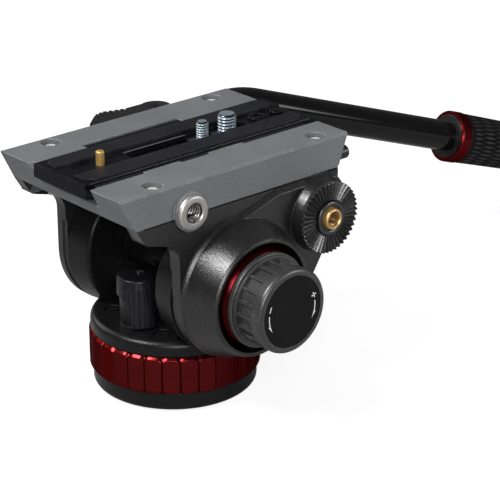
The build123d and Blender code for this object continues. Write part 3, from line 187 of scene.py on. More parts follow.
# Marks of the drag knob, with angles in degrees from the top of its face
mark_ring_radius = 14.7 * mm
mark_line = 0.5 * mm
mark_height = 0.05 * mm
mark_sign_angle = 71
mark_sign_length = 3.0 * mm
mark_arrow_start = 83.5
mark_arrow_end = 112
mark_arrow_steps = 14
mark_heel_back = 3
mark_tip_angle = 118.7
mark_barb_angle = 102.5
mark_barb_out = 1.2 * mm
mark_tip_height = mark_height * 1.1

# Pan drag ring, with angles in degrees of turn
ring_lands = 30
ring_bore = 36.6 * mm
ring_foot_chamfer = 0.7 * mm
ring_head_chamfer = 1.6 * mm
land_groove_depth = 0.85 * mm
land_groove_half = 0.62
ring_notch_drop = 0.9 * mm
ring_notch_half = 2.6
foot_notch_height = 2.0 * mm
foot_notch_share = 0.7
foot_notch_deeper = 1.6 * mm
foot_notch_wider = 1.9
# Its rows of corners: angles within a land, heights over the foot and depths under the head in mm
ring_angles = (0, 0.3, 0.55, 0.8, 1.1, 1.6, 2.4, 3.6, 4.8, 6.0, 7.2, 8.4, 9.6, 10.4, 10.9, 11.2, 11.45, 11.7)
ring_foot_levels = (0, 0.35, 0.7, 1.1, 1.6, 2.2, 3.0)
ring_head_levels = (3.8, 3.2, 2.7, 2.3, 1.9, 1.6, 1.3, 1.0, 0.6, 0.3, 0.0)

# Red cone round the drag knob, as (radius, way along the tilt axis) in mm
trim_profile = ((22.6, 58.3), (27.4, 58.3), (27.4, 61.6), (27.1, 62.2), (24.9, 65.9), (23.7, 67.9),
                (23.2, 68.15), (22.6, 68.15), (22.6, 58.3))

# Pan lock lever, with angles in degrees round its shaft from the right
lock_reach = 23 * mm
lock_head_radius = 11.0 * mm
lock_head_foot = 53.4 * mm
lock_collar_radius = 9.7 * mm
lock_collar_foot = 46.4 * mm
tab_start = -80
tab_foot_start = -56
tab_end = 12
tab_taper = 16
tab_fade = 3
tab_rise = 0.3 * mm
tab_swell = 0.5 * mm
tab_lean = 2.4 * mm
swell_top = 0.9 * mm
swell_run = 4.5 * mm
flute_pitch = 12
flute_shift = 91
flute_depth = 0.55 * mm
flute_top = 1.4 * mm
flute_run = 1.5 * mm
lock_top_round = 1.0 * mm
lock_foot_round = 0.6 * mm
lock_foot_inset = 0.8
# The hole of its screw, as (radius, depth under the top) in mm
lock_hole = ((0.01, 2.6), (2.3, 2.6), (2.9, 0.5), (3.4, 0))

# Screw threads
small_screw_pitch = 1.27 * mm
wide_screw_pitch = 1.59 * mm
insert_pitch = 1.0 * mm
rows_per_turn = 12
thread_root_flat = 0.1
thread_flank = 0.74
base_thread_radius = 3.97 * mm
base_thread_depth = 0.55 * mm
base_thread_length = 12.5 * mm
base_thread_start = 0.3 * mm
base_thread_half = 0.42
base_thread_sink = 0.05 * mm

# Photograph's camera
camera_place = (0.71305, -0.58351, 0.45941)
camera_azimuth = math.radians(48.309)
camera_elevation = math.radians(22.95)
camera_lens = 142.92
camera_sensor = 36

# Studio
air_strength = 0.12
floor_glow = 0.8
floor_half = 6


# Shader building

def place(tree, kind, settings=None, **inputs):
    """One shader node. An input is named by its socket, or i0, i1 by its number."""
    made = tree.nodes.new(kind)
    for name, value in (settings or {}).items():
        setattr(made, name, value)
    for name, value in inputs.items():
        key = int(name[1:]) if name[0] == "i" and name[1:].isdigit() else name.replace("_", " ")
        plug(tree, made.inputs[key], value)
    return made


def plug(tree, socket, value):
    """Links an input to a socket, or sets it to a fixed value."""
    if isinstance(value, bpy.types.NodeSocket):
        tree.links.new(value, socket)
    else:
        socket.default_value = value


def reckon(tree, operation, *terms):
    """Result of one sum."""
    return place(tree, "ShaderNodeMath", {"operation": operation},
                 **{f"i{n}": t for n, t in enumerate(terms)}).outputs[0]


def reckon_vector(tree, operation, *terms):
    """Node of one sum with vectors."""
    return place(tree, "ShaderNodeVectorMath", {"operation": operation},
                 **{f"i{n}": t for n, t in enumerate(terms)})


def spread(tree, value, low, high, to_low=0.0, to_high=1.0):
    """A value brought from one span to another and kept within it."""
    return place(tree, "ShaderNodeMapRange", i0=value, i1=low, i2=high, i3=to_low, i4=to_high).outputs[0]


def tint(tree, share, first, second):
    """Colour between two, by share."""
    return place(tree, "ShaderNodeMix", {"data_type": "RGBA"}, i0=share, i6=first, i7=second).outputs[2]


def new_group(name, inputs, outputs):
    """An empty node group: its tree, the sockets that it is given and those that it gives."""
    tree = bpy.data.node_groups.new(name, "ShaderNodeTree")
    for label, kind, start in inputs:
        made = tree.interface.new_socket(name=label, in_out="INPUT", socket_type=socket_types[kind])
        made.default_value = start
    for label, kind in outputs:
        tree.interface.new_socket(name=label, in_out="OUTPUT", socket_type=socket_types[kind])
    return tree, tree.nodes.new("NodeGroupInput").outputs, tree.nodes.new("NodeGroupOutput").inputs


def use(tree, group, **inputs):
    """Outputs of a node group used in a material."""
    made = tree.nodes.new("ShaderNodeGroup")
    made.node_tree = group
    for name, value in inputs.items():
        plug(tree, made.inputs[name], value)
    return made.outputs


def fine_grain_group():
    """Structured paint and moulded grain: its height, a mask of its bright specks and broad differences."""
    tree, given, out = new_group("fine_grain", [("Grain", "VALUE", 0.4 * mm)],
                                 [("Height", "VALUE"), ("Specks", "VALUE"), ("Mottle", "VALUE")])
    spot = place(tree, "ShaderNodeTexCoord").outputs["Object"]
    per_metre = reckon(tree, "DIVIDE", 1.0, given["Grain"])
    fine = place(tree, "ShaderNodeTexNoise", Vector=spot, Scale=per_metre, Detail=2.0, Roughness=0.6)
    grit = place(tree, "ShaderNodeTexVoronoi", Vector=spot, Scale=per_metre, Randomness=1.0)
    broad = place(tree, "ShaderNodeTexNoise", Vector=spot, Scale=38.0, Detail=4.0, Roughness=0.55)
    pits = spread(tree, grit.outputs["Distance"], 0.1, 0.75)
    height = reckon(tree, "MULTIPLY_ADD", fine.outputs[0], 0.7, reckon(tree, "MULTIPLY", pits, 0.3))
    tree.links.new(height, out["Height"])
    tree.links.new(spread(tree, fine.outputs[0], 0.56, 0.7), out["Specks"])
    tree.links.new(spread(tree, broad.outputs[0], 0.35, 0.65), out["Mottle"])
    return tree


def edge_group():
    """Rounded edges: a normal that turns over the edge, and a mask of the edge that is partly rubbed wear and
    partly painted highlight.
    """
    tree, given, out = new_group("edge_wear_and_highlight", [("Radius", "VALUE", 0.5 * mm), ("Rub", "VALUE", 0.5)],
                                 [("Mask", "VALUE"), ("Normal", "VECTOR")])
    rounded = place(tree, "ShaderNodeBevel", {"samples": 6}, Radius=given["Radius"]).outputs[0]
    flat = place(tree, "ShaderNodeNewGeometry").outputs["Normal"]
    same = reckon_vector(tree, "DOT_PRODUCT", rounded, flat).outputs["Value"]
    spot = place(tree, "ShaderNodeTexCoord").outputs["Object"]
    patch = place(tree, "ShaderNodeTexNoise", Vector=spot, Scale=160.0, Detail=3.0, Roughness=0.65).outputs[0]
    # The edge mask lightens edges: partly rubbed wear, partly painted highlight.
    edge = spread(tree, same, 0.985, 0.9)
    wear_and_highlight = reckon(tree, "MULTIPLY", edge, spread(tree, patch, 0.42, 0.62))
    tree.links.new(reckon(tree, "MULTIPLY", wear_and_highlight, given["Rub"]), out["Mask"])
    tree.links.new(rounded, out["Normal"])
    return tree


def handling_group():
    """Roughness that varies with handling, in soft smears."""
    tree, given, out = new_group("handling", [("Rough", "VALUE", 0.4), ("Vary", "VALUE", 0.1)],
                                 [("Roughness", "VALUE")])
    spot = place(tree, "ShaderNodeTexCoord").outputs["Object"]
    smear = place(tree, "ShaderNodeTexNoise", Vector=spot, Scale=60.0, Detail=5.0, Roughness=0.6,
                  Distortion=0.6).outputs[0]
    shift = reckon(tree, "MULTIPLY", spread(tree, smear, 0.3, 0.7, -1.0, 1.0), given["Vary"])
    tree.links.new(reckon(tree, "ADD", given["Rough"], shift), out["Roughness"])
    return tree


def turning_group():
    """Fine lines left by a lathe round an axis: their height, with slight differences from line to line."""
    tree, given, out = new_group(
        "turning_lines",
        [("Centre", "VECTOR", (0, 0, 0)), ("Axis", "VECTOR", (0, 0, 1)), ("Pitch", "VALUE", 0.3 * mm)],
        [("Height", "VALUE"), ("Shade", "VALUE")])
    spot = place(tree, "ShaderNodeTexCoord").outputs["Object"]
    arm = reckon_vector(tree, "SUBTRACT", spot, given["Centre"]).outputs[0]
    along = reckon_vector(tree, "DOT_PRODUCT", arm, given["Axis"]).outputs["Value"]
    across = reckon_vector(tree, "CROSS_PRODUCT", arm, given["Axis"]).outputs[0]
    distance = reckon_vector(tree, "LENGTH", across).outputs["Value"]
    where = place(tree, "ShaderNodeCombineXYZ", i0=along, i1=distance, i2=0.0).outputs[0]
    lines = place(tree, "ShaderNodeTexNoise", Vector=where, Scale=reckon(tree, "DIVIDE", 1.0, given["Pitch"]),
                  Detail=2.0, Roughness=0.5).outputs[0]
    tree.links.new(lines, out["Height"])
    tree.links.new(spread(tree, lines, 0.35, 0.65), out["Shade"])
    return tree


fine_grain = fine_grain_group()
edge_wear_and_highlight = edge_group()
handling = handling_group()
turning_lines = turning_group()


def new_finish(name, **settings):
    """A material with its shader; the settings are fixed numbers and colours of the shader."""
    finish = bpy.data.materials.new(name)
    finish.use_nodes = True
    tree = finish.node_tree
    shader = tree.nodes["Principled BSDF"]
    for label, value in settings.items():
        shader.inputs[label.replace("_", " ")].default_value = value
    return finish, tree, shader


def feed(tree, shader, **values):
    """Links sockets to inputs of a shader."""
    for label, value in values.items():
        tree.links.new(value, shader.inputs[label.replace("_", " ")])


def relief_normal(tree, height, distance, strength, normal):
    """Normal of a relief laid over another normal."""
    return place(tree, "ShaderNodeBump", Height=height, Distance=distance, Strength=strength,
                 Normal=normal).outputs[0]


def painted(name, deep, pale, wear_and_highlight, relief, rough, edge, gloss=0.5):
    """Structured paint or moulded grain over rounded edges.

    The relief is the grain's size and depth in mm, rough the roughness and how far it varies, and the edge
    its rounding in mm and how far it is lightened, as rubbed wear and as painted highlight.
    """
    finish, tree, shader = new_finish(name, Specular_IOR_Level=gloss)
    coat = use(tree, fine_grain, Grain=relief[0] * mm)
    rim = use(tree, edge_wear_and_highlight, Radius=edge[0] * mm, Rub=edge[1])
    touch = use(tree, handling, Rough=rough[0], Vary=rough[1])
    body = tint(tree, coat["Mottle"], deep, pale)
    # The pale colour goes on bright grain specks and on edges, where it is wear and painted highlight.
    body = tint(tree, reckon(tree, "MULTIPLY", coat["Specks"], 0.5), body, wear_and_highlight)
    feed(tree, shader, Base_Color=tint(tree, rim["Mask"], body, wear_and_highlight), Roughness=touch["Roughness"],
         Normal=relief_normal(tree, coat["Height"], relief[1] * mm, 0.8, rim["Normal"]))
    return finish


def turned_metal(name, deep, pale, rough, edge, depth=0.02, pitch=0.5, centre=(0, 0, 0), axis=up, gloss=0.5,
                 **settings):
    """Metal with fine lathe lines round an axis. Its edge, and depth and pitch of the lines, are in mm."""
    finish, tree, shader = new_finish(name, Specular_IOR_Level=gloss, **settings)
    lines = use(tree, turning_lines, Centre=centre, Axis=axis, Pitch=pitch * mm)
    rim = use(tree, edge_wear_and_highlight, Radius=edge * mm, Rub=0.4)
    touch = use(tree, handling, Rough=rough[0], Vary=rough[1])
    # Edges take the pale colour: rubbed wear and painted highlight.
    feed(tree, shader, Base_Color=tint(tree, rim["Mask"], tint(tree, lines["Shade"], deep, pale), pale),
         Roughness=touch["Roughness"],
         Normal=relief_normal(tree, lines["Height"], depth * mm, 0.5, rim["Normal"]))
    return finish


def grey(level, blue):
    """A grey with its own share of blue."""
    return level, level, blue, 1


red_tint = (0.30, 0.07, 0.07, 1)
black_casting = painted(
    "black_casting", grey(0.0045, 0.0048), grey(0.0075, 0.0078), grey(0.05, 0.053), relief=(0.7, 0.15),
    rough=(0.295, 0.04), edge=(0.6, 0.45), gloss=0.64)
# Darker, duller copy of the black casting for the pan housing and base: painted shade of the lower body.
shaded_housing_black = painted(
    "shaded_housing_black", grey(0.0035, 0.004), grey(0.0055, 0.006), grey(0.022, 0.024), relief=(0.6, 0.09),
    rough=(0.29, 0.05), edge=(0.8, 0.35), gloss=0.20)
grey_casting = painted(
    "grey_casting", (0.100, 0.103, 0.109, 1), (0.119, 0.122, 0.128, 1), (0.33, 0.335, 0.35, 1),
    relief=(0.42, 0.11), rough=(0.52, 0.06), edge=(0.7, 0.9))
rosette_black = painted(
    "rosette_black", grey(0.004, 0.0045), grey(0.006, 0.0065), grey(0.10, 0.102), relief=(0.5, 0.04),
    rough=(0.28, 0.04), edge=(0.15, 0.6), gloss=0.85)
knob_rubber = painted(
    "knob_rubber", grey(0.016, 0.017), grey(0.024, 0.025), grey(0.14, 0.143), relief=(0.6, 0.05),
    rough=(0.35, 0.05), edge=(0.28, 0.7), gloss=0.72)
grip_rubber = painted(
    "grip_rubber", (0.008, 0.0075, 0.0075, 1), (0.014, 0.0125, 0.0125, 1), (0.04, 0.038, 0.038, 1),
    relief=(0.45, 0.06), rough=(0.48, 0.08), edge=(0.2, 0.3), gloss=0.45)
# Darker rubber for the knurl's grooves: painted shade.
grip_groove_shade = painted(
    "grip_groove_shade", (0.0025, 0.0024, 0.0024, 1), (0.004, 0.0038, 0.0038, 1), grey(0.008, 0.008),
    relief=(0.45, 0.04), rough=(0.6, 0.08), edge=(0.2, 0.1), gloss=0.12)
strip_rubber = painted(
    "strip_rubber", grey(0.0055, 0.0075), grey(0.0085, 0.011), grey(0.055, 0.062), relief=(0.5, 0.1),
    rough=(0.5, 0.08), edge=(0.6, 0.8), gloss=0.20)
black_plastic = painted(
    "black_plastic", grey(0.004, 0.0048), grey(0.0065, 0.0075), grey(0.05, 0.052), relief=(0.5, 0.06),
    rough=(0.30, 0.06), edge=(0.4, 0.45), gloss=0.4)
label_film = painted(
    "label_film", grey(0.004, 0.0045), grey(0.006, 0.0065), grey(0.03, 0.031), relief=(0.5, 0.04),
    rough=(0.5, 0.05), edge=(0.2, 0.1), gloss=0.10)
lock_plastic = painted(
    "lock_plastic", grey(0.004, 0.0052), grey(0.006, 0.0075), grey(0.05, 0.056), relief=(0.6, 0.04),
    rough=(0.32, 0.05), edge=(0.2, 0.7), gloss=0.28)
plate_anodised = painted(
    "plate_anodised", grey(0.0018, 0.0026), grey(0.0028, 0.0038), grey(0.045, 0.049), relief=(0.4, 0.01),
    rough=(0.26, 0.04), edge=(0.4, 0.9), gloss=0.08)
tube_lacquer = painted(
    "tube_lacquer", grey(0.0015, 0.002), grey(0.0025, 0.003), grey(0.02, 0.02), relief=(0.8, 0.01),
    rough=(0.12, 0.03), edge=(0.4, 0.2), gloss=0.3)
ring_red = turned_metal(
    "ring_red", (0.105, 0.0085, 0.0095, 1), (0.130, 0.0105, 0.0115, 1), rough=(0.24, 0.04), edge=0.4,
    depth=0.004, pitch=0.8, Metallic=0.94, Specular_Tint=red_tint)
trim_red = turned_metal(
    "trim_red", (0.045, 0.0030, 0.0040, 1), (0.058, 0.0042, 0.0055, 1), rough=(0.24, 0.04), edge=0.2,
    depth=0.006, pitch=0.4, centre=tilt_centre, axis=right, Metallic=0.94, Specular_Tint=red_tint)
socket_steel = turned_metal(
    "socket_steel", (0.40, 0.39, 0.37, 1), (0.50, 0.49, 0.47, 1), rough=(0.44, 0.05), edge=0.4, depth=0.006,
    centre=socket_centre, axis=right, Metallic=0.85)
# Darker copy of the socket's steel for its bore: painted shade.
bore_steel = turned_metal(
    "bore_steel", (0.26, 0.255, 0.24, 1), (0.36, 0.355, 0.34, 1), rough=(0.40, 0.05), edge=0.05,
    depth=0.006, centre=socket_centre, axis=right, Metallic=0.85)
plain_steel = turned_metal(
    "plain_steel", grey(0.48, 0.47), grey(0.66, 0.65), rough=(0.28, 0.06), edge=0.3, depth=0.008,
    Metallic=1.0)
screw_zinc = turned_metal(
    "screw_zinc", (0.52, 0.62, 0.70, 1), (0.68, 0.77, 0.84, 1), rough=(0.36, 0.05), edge=0.04, depth=0.004,
    Metallic=0.9)
thread_shade = turned_metal(
    "thread_shade", (0.014, 0.015, 0.016, 1), (0.026, 0.027, 0.029, 1), rough=(0.45, 0.05), edge=0.04,
    depth=0.004, Metallic=0.7, gloss=0.3)
bright_zinc = turned_metal(
    "bright_zinc", grey(0.40, 0.39), grey(0.52, 0.50), rough=(0.34, 0.05), edge=0.1, depth=0.006,
    Metallic=0.8)
# Near-black matte for the strip under the wings: painted shade of the joint's gap.
seam_shade = painted(
    "seam_shade", grey(0.0012, 0.0013), grey(0.002, 0.0021), grey(0.01, 0.01), relief=(0.6, 0.05),
    rough=(0.7, 0.05), edge=(0.05, 0.1), gloss=0.15)
# Paler, less metallic steel in the screws' hex keys: painted highlight.
key_highlight_steel = turned_metal(
    "key_highlight_steel", (0.55, 0.54, 0.53, 1), (0.72, 0.71, 0.69, 1), rough=(0.40, 0.05), edge=0.1, depth=0.006,
    Metallic=0.35)
# Pale grey of the plate's edges: bare aluminium and painted highlight.
edge_aluminium_and_highlight = turned_metal(
    "edge_aluminium_and_highlight", grey(0.16, 0.165), grey(0.24, 0.245), rough=(0.42, 0.06), edge=0.05, depth=0.004,
    Metallic=0.15)
screw_black = turned_metal(
    "screw_black", grey(0.012, 0.013), grey(0.02, 0.022), rough=(0.30, 0.06), edge=0.3, depth=0.006,
    Metallic=0.6, gloss=0.3)
insert_brass = turned_metal(
    "insert_brass", (0.62, 0.38, 0.14, 1), (0.76, 0.50, 0.21, 1), rough=(0.40, 0.04), edge=0.3, depth=0.004,
    centre=rosette_centre, axis=right, Metallic=0.75)
# Darker copy of the inserts' brass for their bores: painted shade.
bore_brass = turned_metal(
    "bore_brass", (0.34, 0.18, 0.06, 1), (0.44, 0.25, 0.09, 1), rough=(0.36, 0.04), edge=0.05, depth=0.004,
    centre=rosette_centre, axis=right, Metallic=0.8)
pin_brass = turned_metal(
    "pin_brass", (0.55, 0.33, 0.10, 1), (0.75, 0.48, 0.17, 1), rough=(0.38, 0.04), edge=0.2, depth=0.004,
    Metallic=0.7)
bush_bronze = turned_metal(
    "bush_bronze", (0.42, 0.24, 0.11, 1), (0.55, 0.34, 0.17, 1), rough=(0.36, 0.06), edge=0.3, pitch=0.3,
    Metallic=1.0)
spring_steel = turned_metal(
    "spring_steel", (0.16, 0.17, 0.19, 1), (0.27, 0.28, 0.30, 1), rough=(0.34, 0.06), edge=0.3, pitch=0.4,
    centre=tilt_centre, axis=right, Metallic=1.0)
mark_white = painted(
    "mark_white", grey(0.72, 0.72), grey(0.82, 0.82), grey(0.9, 0.9), relief=(0.2, 0.01), rough=(0.5, 0.05),
    edge=(0.05, 0.1))


def vial_glass():
    """Clear glass of the level."""
    finish, tree, shader = new_finish("vial_glass", Base_Color=(0.95, 0.98, 0.9, 1), IOR=1.49,
                                      Transmission_Weight=1.0)
    touch = use(tree, handling, Rough=0.04, Vary=0.03)
    feed(tree, shader, Roughness=touch["Roughness"])
    return finish


glass = vial_glass()

finish_of_slot = {"casting_black": black_casting, "casting_grey": grey_casting, "anodised_red": ring_red,
                  "anodised_black": plate_anodised, "tube_black": tube_lacquer, "rubber_black": strip_rubber,
                  "plastic_black": black_plastic, "steel": plain_steel, "zinc": bright_zinc,
                  "brass": insert_brass, "bronze": bush_bronze, "spring_steel": spring_steel, "glass": glass}
finish_of_node = {"drag_knob_grip": knob_rubber, "drag_knob_label": label_film, "locating_pin": pin_brass,
                  "pan_housing": shaded_housing_black, "base_disc": shaded_housing_black, "floor_screws": screw_black,
                  "plate_lock_pivot": screw_black, "tilt_lock_screw": screw_black,
                  "rosette_left": rosette_black, "rosette_bar": rosette_black}


def dress_nodes():
    """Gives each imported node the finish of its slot, or its own."""
    for name, piece in nodes.items():
        for slot in piece.material_slots:
            slot.material = finish_of_node.get(name) or finish_of_slot[slot.material.name.split(".")[0]]


dress_nodes()


# Fine pieces

def add_object(name, data):
    """A new object in the scene."""
    made = bpy.data.objects.new(name, data)
    bpy.context.scene.collection.objects.link(made)
    return made


def new_piece(name, bm, body, finish, crisp=34):
    """A piece from a worked mesh, riding on a body. Edges that turn by over the crisp angle stay sharp."""
    mesh = bpy.data.meshes.new(name)
    bmesh.ops.recalc_face_normals(bm, faces=bm.faces)
    for face in bm.faces:
        face.smooth = True
    for edge in bm.edges:
        edge.smooth = edge.calc_face_angle(0.0) < math.radians(crisp)
    bm.to_mesh(mesh)
    bm.free()
    mesh.materials.append(finish)
    piece = add_object(name, mesh)
    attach(piece, body)
    return piece


def clamp(value):
    """A value kept between 0 and 1."""
    return min(1.0, max(0.0, value))


def basis(axis):
    """Two directions across an axis."""
    axis = Vector(axis).normalized()
    first = axis.orthogonal().normalized()
    return first, axis.cross(first)


def round_row(centre, axis, way, radius, steps):
    """Places round an axis; the radius is a number, or follows the share of a turn."""
    first, second = basis(axis)
    axis = Vector(axis).normalized()
    row = []
    for n in range(steps):
        reach = radius(n / steps) if callable(radius) else radius
        spoke = first * math.cos(tau * n / steps) + second * math.sin(tau * n / steps)
        row.append(centre + axis * way + spoke * reach)
    return row


def profile_rows(centre, axis, profile, steps=96):
    """Rows of a turned form from (radius, way along the axis) points."""
    return [round_row(centre, axis, way, radius, steps) for radius, way in profile]


def join_rings(bm, rings):
    """Faces between rings of corners, from each ring to the next one."""
    for low, high in zip(rings, rings[1:]):
        for n in range(len(low)):
            m = (n + 1) % len(low)
            bm.faces.new((low[n], low[m], high[m], high[n]))


def skin(bm, rows, open_start=False, open_end=False):
    """Faces between rows of places, closed at both ends unless they're to stay open."""
    rings = [[bm.verts.new(spot) for spot in row] for row in rows]
    join_rings(bm, rings)
    if not open_start:
        bm.faces.new(rings[0])
    if not open_end:
        bm.faces.new(rings[-1])


def arc_profile(middle_radius, middle_way, reach, start, end, steps=5):
    """Part of a turned profile: an arc between two angles, measured from outwards towards the axis' head."""
    return [(middle_radius + reach * math.cos(math.radians(start + (end - start) * n / steps)),
             middle_way + reach * math.sin(math.radians(start + (end - start) * n / steps)))
            for n in range(steps + 1)]


def thread_rows(centre, axis, root, crest, pitch, start, end, steps, fade_start=0.0, fade_end=0.0):
    """Rows of a V thread between two ways along an axis; it fades down to its root over the fades."""
    count = max(2, round(abs(end - start) / pitch * rows_per_turn))
    rows = []
    for k in range(count + 1):
        way = start + (end - start) * k / count
        room = 1.0
        if fade_start:
            room = min(room, abs(way - start) / fade_start)
        if fade_end:
            room = min(room, abs(end - way) / fade_end)

        def radius(turn, way=way, room=room):
            rise = 1 - abs(2 * ((way / pitch - turn) % 1) - 1)
            rise = clamp((rise - thread_root_flat) / thread_flank)
            return root + (crest - root) * min(rise, room)

        rows.append(round_row(centre, axis, way, radius, steps))
    return rows


def paint_root_shade(piece, centre, axis, within, finish):
    """Paints shade on the faces of a thread whose distance from its axis is in a span, by giving them a
    darker material.
    """
    piece.data.materials.append(finish)
    for face in piece.data.polygons:
        arm = face.center - centre
        arm -= axis * arm.dot(axis)
        if within[0] < arm.length < within[1]:
            face.material_index = 1


def camera_screw(body, node, radius, pitch):
    """A zinc camera screw, with its thread and its flange under the plate."""
    low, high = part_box(node)
    centre = Vector(((low.x + high.x) / 2, (low.y + high.y) / 2, 0))
    flange = (high.x - low.x) / 2
    root = radius - pitch * screw_root_share
    flange_top = low.z + screw_flange
    bm = bmesh.new()
    rows = profile_rows(centre, up, (
        (flange - screw_chamfer, low.z), (flange, low.z + screw_chamfer),
        (flange, flange_top), (root, flange_top)), 64)
    rows += thread_rows(centre, up, root, radius, pitch, flange_top + screw_neck, high.z - screw_thread_end,
                        64, fade_start=screw_neck, fade_end=screw_thread_fade)
    rows += profile_rows(centre, up, (
        (radius - screw_tip_inset, high.z - screw_thread_fade), (radius - screw_tip_chamfer, high.z),
        (root * 0.5, high.z)), 64)
    skin(bm, rows)
    screw = new_piece(body + "_turned", bm, body, screw_zinc, 20)
    dark = (root - 0.05 * mm, root + screw_dark_share * (radius - root))
    # Thread roots in painted shade.
    paint_root_shade(screw, centre, up, dark, thread_shade)
    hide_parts(node)


def camera_screws():
    """The two camera screws, small and wide."""
    camera_screw("small_screw", "camera_screw_small", small_screw_radius, small_screw_pitch)
    camera_screw("wide_screw", "camera_screw_wide", wide_screw_radius, wide_screw_pitch)


def key_radius(turn):
    """Distance of a hexagonal key's wall from its middle, at a share of a turn."""
    aside = (turn * tau + math.pi / 6) % (math.pi / 3) - math.pi / 6
    return key_half * math.cos(math.pi / 6) / math.cos(aside)


def platform_screw_heads():
    """Four domed screws with hexagonal keys, deep in the wings."""
    low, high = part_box("platform_screws")
    top, steps = high.z, 48
    profile = [(shank_radius, low.z + shank_lift), (shank_radius, top - head_height),
               (head_radius, top - head_height), (head_radius, top - head_dome_start)]
    profile += [(radius * mm, top - depth * mm) for radius, depth in head_dome]
    profile += [(key_radius, top - depth) for depth in key_depths]
    profile.append((key_floor_radius, top - key_floor_depth))
    centres = [Vector((x, y, 0)) for x in (low.x + head_radius, high.x - head_radius)
               for y in (low.y + head_radius, high.y - head_radius)]
    bm = bmesh.new()
    for centre in centres:
        skin(bm, profile_rows(centre, up, profile, steps))
    heads = new_piece("platform_screw_heads", bm, "tilt_frame", bright_zinc, 20)
    # The keys take the paler steel: painted highlight in the recess.
    heads.data.materials.append(key_highlight_steel)
    for face in heads.data.polygons:
        aside = min((face.center.xy - spot.xy).length for spot in centres)
        if face.center.z > top - bright_key_depth and aside < bright_key_radius:
            face.material_index = 1
    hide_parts("platform_screws")


def bar_along(bm, section, front, rear):
    """A straight form from the front to the rear, with a section of (x, z) corners."""
    skin(bm, [[Vector((x, y, z)) for x, z in section] for y in (front, rear)])


def oblong(x, z, far_x, far_z):
    """Section between two opposite corners."""
    return [(x, z), (far_x, z), (far_x, far_z), (x, far_z)]


def wing_seam_shade():
    """Dark strip along the joint between each wing and the cheek that carries it: painted shade of the gap.
    """
    seam_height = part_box("cheek_right")[1].z
    bm = bmesh.new()
    for side in (-1, 1):
        section = oblong(side * (wing_foot_half - wing_seam_inside), seam_height - wing_seam_drop,
                         side * (wing_foot_half + wing_seam_outside), seam_height + wing_seam_rise)
        bar_along(bm, section, wing_seam_front, wing_seam_rear)
    new_piece("wing_seam_shade", bm, "tilt_frame", seam_shade, 20)


def plate_edge_lines():
    """Pale lines of the camera plate, bare aluminium and painted highlight: chamfer of both long edges and
    milled edge of the slot.
    """
    low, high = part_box("camera_plate")
    bm = bmesh.new()
    for side in (-1, 1):
        section = [(side * (plate_edge_half - edge_line_width), high.z + edge_line_rise),
                   (side * (plate_edge_half + edge_line_proud), high.z - edge_line_drop),
                   (side * (plate_edge_half - edge_line_foot), high.z - edge_line_drop)]
        bar_along(bm, section, low.y + edge_line_margin, high.y - edge_line_margin)
    floor = high.z - plate_groove_depth
    section = oblong(-slot_line_reach, floor + slot_line_rise,
                     -slot_line_reach - slot_line_width, floor - slot_line_sink)
    for n in range(slot_dashes):
        y = slot_line_start + n * slot_dash_step
        bar_along(bm, section, y, y + slot_dash_length)
    new_piece("plate_edge_lines", bm, "sliding_plate", edge_aluminium_and_highlight, 20)


def threaded_bush(name, node, side, outer, rim, root, crest, pitch, finish, bore_finish):
    """A turned bush with a rolled rim and a threaded bore in a darker copy of its metal, as painted shade;
    side is the way its mouth faces along X.
    """
    low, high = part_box(node)
    centre = Vector((low.x if side > 0 else high.x, (low.y + high.y) / 2, (low.z + high.z) / 2))
    axis = right * side
    length = high.x - low.x
    mouth = crest + bush_mouth
    wall = crest + bush_play
    profile = [(wall, 0), (outer, 0)] + arc_profile(outer - rim, length - rim, rim, 0, 90, 8) + [
        (mouth + bush_chamfer, length), (mouth, length - bush_chamfer), (wall, length - bush_thread_drop)]
    bm = bmesh.new()
    skin(bm, profile_rows(centre, axis, profile), open_start=True, open_end=True)
    shell = new_piece(name, bm, "tilt_frame", finish)
    bm = bmesh.new()
    rows = [round_row(centre, axis, length - bush_lip_drop, wall, 72)]
    rows += thread_rows(centre, axis, root, crest, pitch, length - bush_thread_drop, bush_thread_foot, 72)
    rows.append(round_row(centre, axis, bush_play, root, 72))
    skin(bm, rows, open_start=True)
    bore = new_piece(name + "_bore", bm, "tilt_frame", bore_finish, 20)
    # Thread roots of the bore in painted shade.
    paint_root_shade(bore, centre, axis, (crest - bush_dark_share * (crest - root), crest + mm), thread_shade)
    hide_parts(node)
    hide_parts(node)


def threaded_bushes():
    """Steel accessory socket and the brass inserts of the rosettes."""
    threaded_bush("side_socket_turned", "side_thread_socket", 1, outer=9.0 * mm, rim=1.9 * mm,
                  root=3.95 * mm, crest=4.75 * mm, pitch=wide_screw_pitch,
                  finish=socket_steel, bore_finish=bore_steel)
    for hand, side in (("right", 1), ("left", -1)):
        threaded_bush("insert_" + hand + "_turned", "rosette_insert_" + hand, side, outer=5.35 * mm,
                      rim=0.9 * mm, root=3.0 * mm, crest=3.7 * mm, pitch=insert_pitch,
                      finish=insert_brass, bore_finish=bore_brass)


